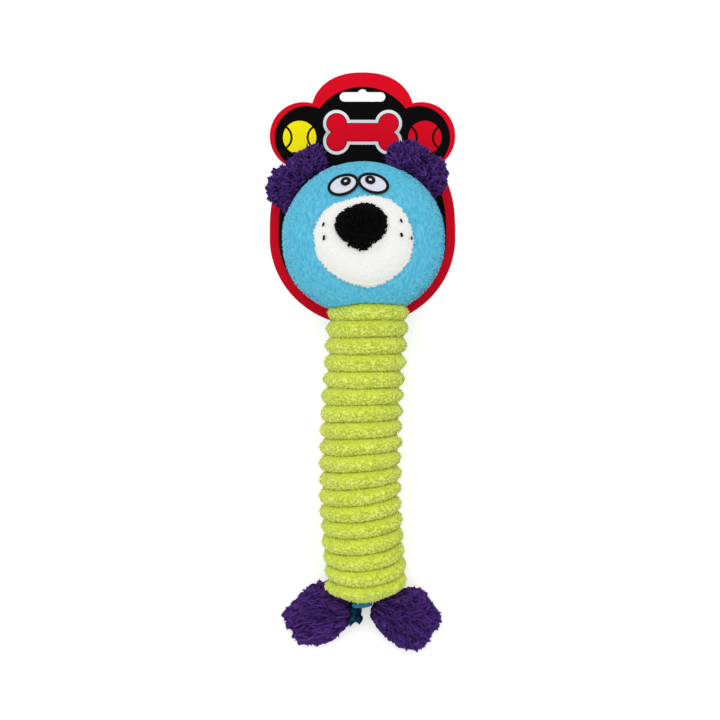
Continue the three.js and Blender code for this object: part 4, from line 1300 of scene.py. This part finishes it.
def model_tube():
    """One rib extruded from a ring and repeated, then the closing rib from the last ring."""
    bpy.ops.mesh.primitive_circle_add(
        vertices=TUBE_SIDES, radius=RIB_GROOVE_RADIUS, rotation=(math.pi / 2, 0, 0)
    )
    tube = new_piece("tube")
    start_edit()
    shares = [(1 - math.cos(math.pi * i / RIB_RINGS)) / 2 for i in range(RIB_RINGS + 1)]
    for before, share in zip(shares, shares[1:]):
        step = (share - before) * RIB_PITCH
        extrude_rings(before * RIB_PITCH, [rib_radius(before), rib_radius(share)], step)
    bpy.ops.object.mode_set(mode="OBJECT")
    offset = {"use_relative_offset": False, "use_constant_offset": True}
    offset["constant_offset_displace"] = (0, -RIB_PITCH, 0)
    modify(tube, "ARRAY", count=RIB_COUNT, use_merge_vertices=True, merge_threshold=SAME_PLACE, **offset)
    take(tube)
    start_edit("DESELECT")
    bpy.ops.object.mode_set(mode="OBJECT")
    last = vectors_of(tube)[:, 1] < -BODY_LENGTH + SAME_PLACE
    tube.data.vertices.foreach_set("select", last)
    bpy.ops.object.mode_set(mode="EDIT")
    radii = [closing_radius(i / CLOSING_RINGS) for i in range(CLOSING_RINGS + 1)]
    extrude_rings(BODY_LENGTH, radii, CLOSING_LENGTH / CLOSING_RINGS)
    close_edit()
    bpy.ops.object.shade_smooth()
    return tube


def bend_tube(tube):
    """Lays the straight tube along the body's line, with ribs that differ a little from each other."""
    points = vectors_of(tube)
    attribute = tube.data.attributes.new("rib", "FLOAT", "POINT")
    attribute.data.foreach_set("value", (-points[:, 1] / RIB_PITCH).astype(np.float32))
    along = rib_place(-points[:, 1] / RIB_PITCH)
    rib = np.clip(-points[:, 1] / RIB_PITCH, 0, RIB_COUNT)

    def by_rib(size, amount, seed, x=0, z=0):
        return lumps(np.stack([rib * 0 + x, rib, rib * 0 + z], axis=1), size, seed) * amount

    sway = by_rib(*RIB_SHIFT, 4)
    fuller = 1 + by_rib(*RIB_SWELL, 6, z=9)
    tilt = by_rib(*RIB_SLANT, 8, x=5)
    pinch = lumps(points, RIB_PINCH[0], 7) * RIB_PINCH[1]
    closing = smoothstep((-points[:, 1] - BODY_LENGTH) / CLOSING_LENGTH)
    lean = RIB_LEAN * np.clip((rib - FIRST_LEANING_RIB) / (RIB_COUNT - FIRST_LEANING_RIB), 0, 1)
    turn = np.pi * np.clip((rib - FIRST_TILTED_RIB) / TILTED_RIBS, 0, 1)
    tilt = tilt - RIB_TILT * np.sin(turn) * (1 - closing)
    along = along + points[:, 0] * tilt + points[:, 2] * lean * (1 - closing) + pinch
    along[rib <= START_RIBS] = 0
    centre, side, up, _ = body_line(along)
    side = side * (1, 0, 1)  # the ribs stay level, though the body leans to the left
    across = points[:, 0] * fuller + sway - CLOSING_SHIFT * closing
    placed = centre + side * across[:, None] + up * (points[:, 2] * fuller)[:, None]
    placed[:, 2] = np.maximum(placed[:, 2], TUBE_REST)
    set_points(tube, placed)


def cut_stretch(tube, first, last):
    """Parts the ribs from first up to last from the tube, and closes the ends that this opens."""
    take(tube)
    ribs = np.empty(len(tube.data.vertices), np.float32)
    tube.data.attributes["rib"].data.foreach_get("value", ribs)
    bpy.ops.object.mode_set(mode="EDIT")
    bpy.ops.mesh.select_mode(type="FACE")
    bpy.ops.mesh.select_all(action="DESELECT")
    bpy.ops.object.mode_set(mode="OBJECT")
    for face in tube.data.polygons:
        middle = sum(ribs[v] for v in face.vertices) / len(face.vertices)
        face.select = bool(first <= middle < last)
    bpy.ops.object.mode_set(mode="EDIT")
    bpy.ops.mesh.separate(type="SELECTED")
    bpy.ops.object.mode_set(mode="OBJECT")
    part = [piece for piece in bpy.context.selected_objects if piece != tube][0]
    take(part)
    bpy.ops.object.mode_set(mode="EDIT")
    bpy.ops.mesh.select_mode(type="VERT")
    bpy.ops.mesh.select_all(action="SELECT")
    bpy.ops.mesh.fill_holes(sides=0)
    close_edit()
    return part


def make_tube():
    tube = model_tube()
    bend_tube(tube)
    nap(tube, *TUBE_NAP)
    paint(tube, materials["lime_plush"])
    for seed, (name, first, last, flexing, before, after, nodes) in enumerate(TUBE_STRETCHES, TUBE_SEED):
        part = cut_stretch(tube, first, last)
        part.name = name
        part.data.name = name
        count = int(TUBE_FIBRES_PER_RIB * min(last - first, RIB_COUNT + 2 - first))
        part = add_pile(part, count, TUBE_PILE, comb_round_tube, seed, tube_pile_area)
        start = body_point(rib_place(max(flexing - BEND_MARGIN, first)))
        end = body_point(rib_place(min(flexing + 1 + BEND_MARGIN, last)))
        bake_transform(part)
        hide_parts(*nodes)
    bpy.data.objects.remove(tube)


def tube_pile_area(places, facing):
    """No pile on the flat ends that close each stretch, or where the tube lies on the floor."""
    return (np.abs(facing[:, 1]) <= END_FACING) & (places[:, 2] > TUBE_PILE_REST)


def comb_round_tube(places):
    return np.tile(TUBE_COMB, (len(places), 1))


# Ears and feet


def flap_matrix(hinge, angle, droop):
    """From a flap that lies in X and Y and points along +Y to its place on the toy."""
    turned = Matrix.Rotation(math.radians(angle - 90), 4, "Z")
    return Matrix.Translation(hinge) @ turned @ Matrix.Rotation(math.radians(-droop), 4, "X")


def on_flap(name, matrix):
    """A flap's outline in its own plane, from where it shows from above."""
    across = np.array([[matrix[row][column] for column in (0, 1)] for row in (0, 1)])
    places = np.array([from_photo(*pixel) for pixel in FLAP_OUTLINES[name]]) - matrix.translation[:2]
    return np.linalg.solve(across, places.T).T


def reach_of(outline, shrink=0.0):
    """An outline's middle, and how far it reaches from there in each direction."""
    outline = np.array(outline)
    middle = outline.mean(axis=0)
    curve = closed_curve(outline) - middle
    angles = np.arctan2(curve[:, 1], curve[:, 0])
    order = np.argsort(angles)
    reach = np.hypot(*curve[order].T) - shrink
    return middle, lambda around: np.interp(around, angles[order], reach, period=2 * np.pi)


def trim_locks(matrices, outline, rng):
    """Shortens the locks whose tips would stand out past an outline, which they meet in pointed tufts."""
    middle, reach = reach_of(outline)
    roots = matrices[:, :2, 3] - middle
    tips = roots + matrices[:, :2, 2] + matrices[:, :2, 0] * TIP_SHARE
    around = np.arctan2(tips[:, 1], tips[:, 0])
    ways = np.stack([np.cos(around), np.sin(around), around * 0], axis=1)
    tufts = np.minimum(1, TUFT_SHARPNESS * np.abs(lumps(ways, TUFT_WIDTH, 15)))
    room = reach(around) + TUFT_REACH - tufts * TUFT_DEPTH - rng.exponential(TUFT_STRAY, len(tips))
    start, end = np.hypot(*roots.T), np.hypot(*tips.T)
    share = np.clip((room - start) / np.maximum(end - start, 1e-6), TIP_SHARE, 1)
    share[end < room] = 1
    matrices[:, :3, 0] *= share[:, None]
    matrices[:, :3, 2] *= share[:, None]


def shaggy_flap(name, matrix, kind, seed):
    """A stuffed pad under yarn locks, made in its own plane with its sewn edge on X, pointing along +Y."""
    pad = ball(name + "_pad", FLAP_SIDES, FLAP_RINGS)
    outline = on_flap(name, matrix)
    swell_outline(pad, outline, kind["fur"], kind["half_thickness"], kind["half_thickness"], 2)
    nap(pad, *FLAP_NAP)
    rng = np.random.default_rng(seed)
    places, facing = scattered(pad, kind["count"], rng)
    matrices = standing(places - facing * LOCK_SINK, facing, fan_from_root(places), rng, **kind["lock"])
    trim_locks(matrices, outline, rng)
    parts = [pad]
    for i, lock in enumerate(locks[kind["locks"]]):
        parts.append(lay_copies(f"{name}_locks_{i}", lock, matrices[i::3]))
    flap = join(name + "_fleece", parts)
    paint(flap, materials["purple_fleece"])
    flap.data.transform(matrix)
    keep_off_floor(flap)
    return flap


def make_flaps(kind):
    for seed, (name, angle) in enumerate(kind["angles"].items(), kind["seed"]):
        hinge = Vector(next(joint["pos_m"] for joint in frame["joints"] if joint["child"] == name))
        flap = shaggy_flap(name, flap_matrix(hinge, angle, kind["droop"]), kind, seed)
        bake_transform(flap)
        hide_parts(*(f"{name}_{layer}" for layer in kind["layers"]))


def fan_from_root(places):
    """Away from a point just behind the sewn edge."""
    return unit((places + (0, FAN_BEHIND, 0)) * (1, 1, FAN_RISE_SHARE))


# Base patch


def make_base():
    """A round felt patch with a turned, stitched edge."""
    centre, side, up, forward = body_line(np.array(BODY_LENGTH + CLOSING_LENGTH))
    radius = RIB_CREST_RADIUS * CLOSING_END_SHARE
    bpy.ops.mesh.primitive_circle_add(vertices=BASE_PATCH_SIDES, radius=radius, fill_type="NGON")
    patch = new_piece("base_patch")
    start_edit()
    extrude((0, 0, BASE_PATCH_DEPTH))
    for inset, rise in BASE_PATCH_STEPS:
        bpy.ops.mesh.inset(thickness=inset, depth=rise)
    close_edit()
    modify(patch, "BEVEL", width=BASE_PATCH_BEVEL, segments=2, limit_method="ANGLE")
    bpy.ops.object.shade_smooth()
    basis = Matrix((side, up, forward)).transposed().to_4x4()
    place = centre + forward * BASE_PATCH_GAP - side * CLOSING_SHIFT
    patch.data.transform(Matrix.Translation(place) @ basis)
    paint(patch, materials["blue_felt"])
    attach(patch, "base")
    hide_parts("base_disc")


def make_base_fluff():
    """A tuft of yarn under the patch, between the feet, in a dark teal that is painted shade, tinted by a
    painted reflection of the blue patch.
    """
    rng = np.random.default_rng(FLUFF_SEED)
    places = (*from_photo(*FLUFF_PLACE), FLUFF_HEIGHT) + rng.normal(0, 1, (FLUFF_LOCKS, 3)) * FLUFF_SPREAD
    facing = unit(rng.normal(0, FLUFF_FACING_SPREAD, (FLUFF_LOCKS, 3)) + (0, 0, FLUFF_FACING_RISE))
    matrices = standing(places, facing, np.tile(FLUFF_COMB, (FLUFF_LOCKS, 1)), rng, **FLUFF_LOCK)
    tufts = [lay_copies(f"tuft_{i}", lock, matrices[i::3]) for i, lock in enumerate(locks["long"])]
    fluff = join("base_fluff", tufts)
    # Painted shade: the tuft's dark teal stands in for shade tinted by the blue patch
    paint(fluff, materials["teal_fleece"])
    keep_off_floor(fluff)
    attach(fluff, "base")


# Hang card

card_low, card_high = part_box("hang_card")
CARD_X = (card_low.x + card_high.x) / 2
CARD_Y = HEAD_CENTRE.y - CARD_DROP
SLOT_Y = CARD_Y + SLOT_ABOVE


def flat_form(name, x, y, oval, low, high, points=CARD_POINTS):
    """A flat closed piece with a rounded outline, from one height to another."""
    half_width, up, down, upper_power, lower_power = oval
    bpy.ops.mesh.primitive_circle_add(vertices=points, radius=1, fill_type="NGON")
    piece = new_piece(name)
    from_x, from_y, z = vectors_of(piece).T
    power = np.where(from_y >= 0, upper_power, lower_power)
    across = half_width * signed_power(from_x, power) + x
    along = np.where(from_y >= 0, up, down) * signed_power(from_y, power) + y
    set_points(piece, np.stack([across, along, z + low], axis=1))
    start_edit()
    extrude((0, 0, high - low))
    close_edit()
    return piece


def combine(piece, other, operation):
    """Joins or cuts a piece with another, which is used up."""
    modify(piece, "BOOLEAN", object=other, operation=operation, solver="EXACT")
    bpy.data.objects.remove(other)
    return piece


def round_form(name, x, y, radius, low, high, points=LOBE_POINTS):
    return flat_form(name, x, y, (radius, radius, radius, 2, 2), low, high, points)


def card_outline(name, oval, top_y, top, lobe, low, high):
    """The card's outline, or a smaller one for its print: an oval, a top lobe and two side lobes."""
    lobe_x, lobe_y, radius = lobe
    piece = flat_form(name, CARD_X, CARD_Y, oval, low, high)
    piece = combine(piece, flat_form("top", CARD_X, top_y, top, low, high), "UNION")
    for x in (CARD_X - lobe_x, CARD_X + lobe_x):
        piece = combine(piece, round_form("lobe", x, HEAD_CENTRE.y + lobe_y, radius, low, high), "UNION")
    return piece


def slot_form(low, high):
    """The hang slot: a bar with round ends and a bump in the middle of its upper edge."""
    end = SLOT_HALF_HEIGHT
    reach = SLOT_HALF_WIDTH - end
    slot = round_form("slot", CARD_X - reach, SLOT_Y, end, low, high, SLOT_POINTS)
    slot = combine(slot, round_form("slot_end", CARD_X + reach, SLOT_Y, end, low, high, SLOT_POINTS), "UNION")
    middle = np.array((CARD_X, SLOT_Y, (low + high) / 2))
    bpy.ops.mesh.primitive_cube_add(size=1, location=middle)
    bar = new_piece("slot_bar")
    set_points(bar, middle + (vectors_of(bar) - middle) * (2 * reach, 2 * end, high - low))
    slot = combine(slot, bar, "UNION")
    bump_y = SLOT_Y + end + SLOT_BUMP_RISE - SLOT_BUMP_RADIUS
    bump = round_form("slot_bump", CARD_X, bump_y, SLOT_BUMP_RADIUS, low, high, SLOT_POINTS)
    return combine(slot, bump, "UNION")


def make_card():
    low, high = card_low.z, card_high.z
    cut = (low - CUT_MARGIN, high + CUT_MARGIN)
    card = card_outline("card_board", CARD_OVAL, CARD_Y + CARD_TOP_Y, CARD_TOP, CARD_LOBE, low, high)
    card = combine(card, slot_form(*cut), "DIFFERENCE")
    pin_x = HEAD_CENTRE.x - PIN_SHIFT
    hole = round_form("pin_hole", pin_x, HEAD_CENTRE.y, PIN_HOLE_RADIUS, *cut, PIN_HOLE_POINTS)
    card = combine(card, hole, "DIFFERENCE")
    modify(card, "BEVEL", width=CARD_BEVEL, segments=2, limit_method="ANGLE")
    paint(card, materials["board"], materials["red_ink"])
    for face in card.data.polygons:
        face.material_index = 1 if face.normal.z > PRINTED_FACING else 0
    black = card_outline("card_black", PRINT_OVAL, PRINT_TOP_Y, PRINT_TOP, PRINT_LOBE, high - INK, high + INK)
    black = combine(black, slot_form(high - CUT_MARGIN, high + CUT_MARGIN), "DIFFERENCE")
    paint(black, materials["black_ink"])
    for piece in (card, black):
        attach(piece, "card")
    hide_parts("hang_card")
    make_label(high + INK)
    make_balls(high + INK)


def bone_form(name, grow, low, high):
    """A bone that lies across the card: a bar with two knobs at each end."""
    x, y = LABEL_CENTRE
    bar = BONE_BAR_HALF_HEIGHT + grow
    oval = (BONE_KNOB_X, bar, bar, BONE_BAR_POWER, BONE_BAR_POWER)
    bone = flat_form(name, x, y, oval, low, high, BONE_POINTS)
    for knob_x in (x - BONE_KNOB_X, x + BONE_KNOB_X):
        for knob_y in (y - BONE_KNOB_Y, y + BONE_KNOB_Y):
            knob = round_form("knob", knob_x, knob_y, BONE_KNOB_RADIUS + grow, low, high, KNOB_POINTS)
            bone = combine(bone, knob, "UNION")
    return bone


def make_label(low):
    for level, (name, grow, material) in enumerate(LABEL_LAYERS, 1):
        layer = bone_form(name, grow, low - INK, low + level * INK)
        paint(layer, materials[material])
        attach(layer, "card")


def make_balls(low):
    """A printed ball on each side lobe: a yellow one and a red one, each with two curved bands."""
    for name, pixel, material in BALLS:
        x, y = from_photo(*pixel)
        disc = round_form(name, x, y, BALL_RADIUS, low - INK, low + INK, BALL_POINTS)
        for band_x in (x - BAND_FROM_MIDDLE, x + BAND_FROM_MIDDLE):
            forms = []
            for form, radius, layers in (("band", BAND_OUTER_RADIUS, 2), ("hollow", BAND_INNER_RADIUS, 3)):
                reach = layers * INK
                forms.append(round_form(form, band_x, y, radius, low - reach, low + reach, BALL_POINTS))
            disc = combine(disc, combine(*forms, "DIFFERENCE"), "DIFFERENCE")
        paint(disc, materials[material])
        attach(disc, "card")


# Scene


def make_floor():
    bpy.ops.mesh.primitive_plane_add(size=FLOOR_SIDE)
    floor = new_piece("floor")
    finish = Finish("floor_paper", roughness=1.0, specular=0.0)
    finish.set("Base Color", (FLOOR_COLOUR, FLOOR_COLOUR, FLOOR_COLOUR, 1))
    finish.set("Emission Color", (1, 1, 1, 1))
    finish.set("Emission Strength", seen_directly(finish) * FLOOR_GLOW)
    paint(floor, finish.material)


def seen_directly(finish):
    """1 for a ray from the camera, a mirror image or a view through glass, and 0 for light on the toy."""
    kinds = ("Camera", "Glossy", "Transmission")
    camera, glossy, through = (finish.node("ShaderNodeLightPath", {}, {}, f"Is {kind} Ray") for kind in kinds)
    return camera.larger(glossy).larger(through)


class WorldFinish(Finish):
    def __init__(self, world):
        world.use_nodes = True
        self.tree = world.node_tree
        self.surface = self.tree.nodes["Background"]


def make_light():
    world = bpy.data.worlds.new("studio")
    bpy.context.scene.world = world
    finish = WorldFinish(world)
    finish.set("Color", (1, 1, 1, 1))
    finish.set("Strength", seen_directly(finish) * (1 - WORLD_LIGHT) + WORLD_LIGHT)
    sun = bpy.data.objects.new("key_light", bpy.data.lights.new("key_light", "SUN"))
    sun.data.energy = SUN_STRENGTH
    sun.data.angle = SUN_SOFTNESS
    sun.location = SUN_PLACE
    sun.rotation_euler = Vector(SUN_PLACE).to_track_quat("Z", "Y").to_euler()
    bpy.context.scene.collection.objects.link(sun)


def make_camera():
    camera = bpy.data.objects.new("camera", bpy.data.cameras.new("camera"))
    camera.location = (*VIEW_CENTRE, VIEW_PLANE_Z + CAMERA_DISTANCE)
    camera.data.sensor_width = SENSOR_WIDTH
    camera.data.lens = SENSOR_WIDTH * CAMERA_DISTANCE / PICTURE_SIDE
    camera.data.clip_end = VIEW_END
    bpy.context.scene.collection.objects.link(camera)
    bpy.context.scene.camera = camera


def dress_cad_nodes():
    """The pin and the squeaker keep their own meshes and get their finishes, and the bellows get a copy of
    their mesh.
    """
    for node in ("card_pin", "squeaker_base", "squeaker_bellows", "squeaker_cap", "squeaker_reed"):
        for slot in frame["nodes"][node].material_slots:
            slot.material = materials["clear_plastic" if node == "card_pin" else "squeaker_plastic"]
    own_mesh(frame["nodes"]["squeaker_bellows"])


# What makes each finish, its display colours, and what else it takes
FINISHES = {
    "blue_plush": (
        plush, ((0.17, 0.58, 0.73), (0.49, 0.84, 0.93), (0.33, 0.73, 0.85), (0.55, 0.90, 1.0)),
        {"tuft": 0.0021, "stretch": (1, 0.5, 1)},
    ),
    "white_plush": (
        plush, ((0.91, 0.91, 0.89), (0.98, 0.98, 0.97), (0.95, 0.95, 0.94), (1.0, 1.0, 1.0)), {"sheen": 0.1},
    ),
    "lime_plush": (
        ribbed_plush,
        # The fourth colour of the lime plush is the painted shade along its grooves
        ((0.60, 0.70, 0.10), (0.93, 0.96, 0.50), (0.80, 0.87, 0.24), (0.46, 0.55, 0.08), (0.94, 0.98, 0.50)),
        {},
    ),
    "black_fleece": (
        yarn, ((0.02, 0.02, 0.02), (0.06, 0.06, 0.06)), {"sheen": 0.05, "tint": (0.2, 0.2, 0.2, 1)},
    ),
    "purple_fleece": (yarn, ((0.07, 0.03, 0.14), (0.38, 0.23, 0.58)), {"sheen": 0.1}),
    # Dark teal painted shade, tinted by a painted reflection of the blue patch, for the tuft under the base
    # patch
    "teal_fleece": (yarn, ((0.01, 0.08, 0.14), (0.10, 0.32, 0.42)), {"sheen": 0.1}),
    "white_thread": (thread, ((0.84, 0.86, 0.92), (0.93, 0.94, 0.98)), {}),
    "black_thread": (thread, ((0.03, 0.03, 0.03), (0.09, 0.09, 0.09)), {}),
    "blue_felt": (felt, ((0.08, 0.38, 0.52), (0.16, 0.50, 0.66)), {}),
    "red_ink": (print_ink, ((0.86, 0.02, 0.13),), {}),
    "black_ink": (print_ink, ((0.01, 0.01, 0.01),), {}),
    "yellow_ink": (print_ink, ((0.98, 0.92, 0.05),), {}),
    "silver_ink": (silver_ink, (), {}),
    "board": (board, (), {}),
    "clear_plastic": (moulded, ((0.92, 0.94, 0.95),), {"roughness": 0.2, "transmission": 0.7}),
    "squeaker_plastic": (moulded, ((0.94, 0.93, 0.90),), {"roughness": 0.4}),
}
materials = {name: make(name, *colours, **more) for name, (make, colours, more) in FINISHES.items()}

fibre = model_strand("fibre", 3, [(0, 0.5), (12, 0.06)])
hair = model_strand("hair", 4, [(0, 0.5), (15, 0.42), (35, 0.28), (60, 0.05)])
stitch = model_capsule("stitch")
LOCK_SHAPES = {
    "long": (
        [(0, 0.40), (8, 0.55), (20, 0.52), (38, 0.42), (55, 0.28), (70, 0.06)],
        [(0, 0.42), (20, 0.55), (32, 0.50), (28, 0.42), (20, 0.26), (5, 0.06)],
        [(0, 0.40), (-8, 0.52), (5, 0.50), (28, 0.45), (50, 0.30), (40, 0.06)],
    ),
    "curly": (
        [(0, 0.42), (20, 0.55), (50, 0.52), (85, 0.42), (115, 0.30), (140, 0.08)],
        [(0, 0.42), (30, 0.56), (45, 0.50), (30, 0.42), (0, 0.30), (-25, 0.08)],
        [(0, 0.42), (-20, 0.52), (0, 0.52), (40, 0.45), (75, 0.30), (90, 0.08)],
    ),
}
locks = {
    kind: [model_strand(f"{kind}_lock", 5, shape) for shape in shapes] for kind, shapes in LOCK_SHAPES.items()
}

bpy.context.scene.view_settings.view_transform = "Standard"
make_camera()
make_light()
make_floor()
make_card()
make_head()
muzzle = make_muzzle()
make_nose()
for eye in EYES:
    make_eye(eye)
make_whiskers(muzzle)
make_flaps(EARS)
make_tube()
make_base()
make_base_fluff()
make_flaps(FEET)
dress_cad_nodes()
for strand in (fibre, hair, stitch, *locks["long"], *locks["curly"]):
    bpy.data.objects.remove(strand)
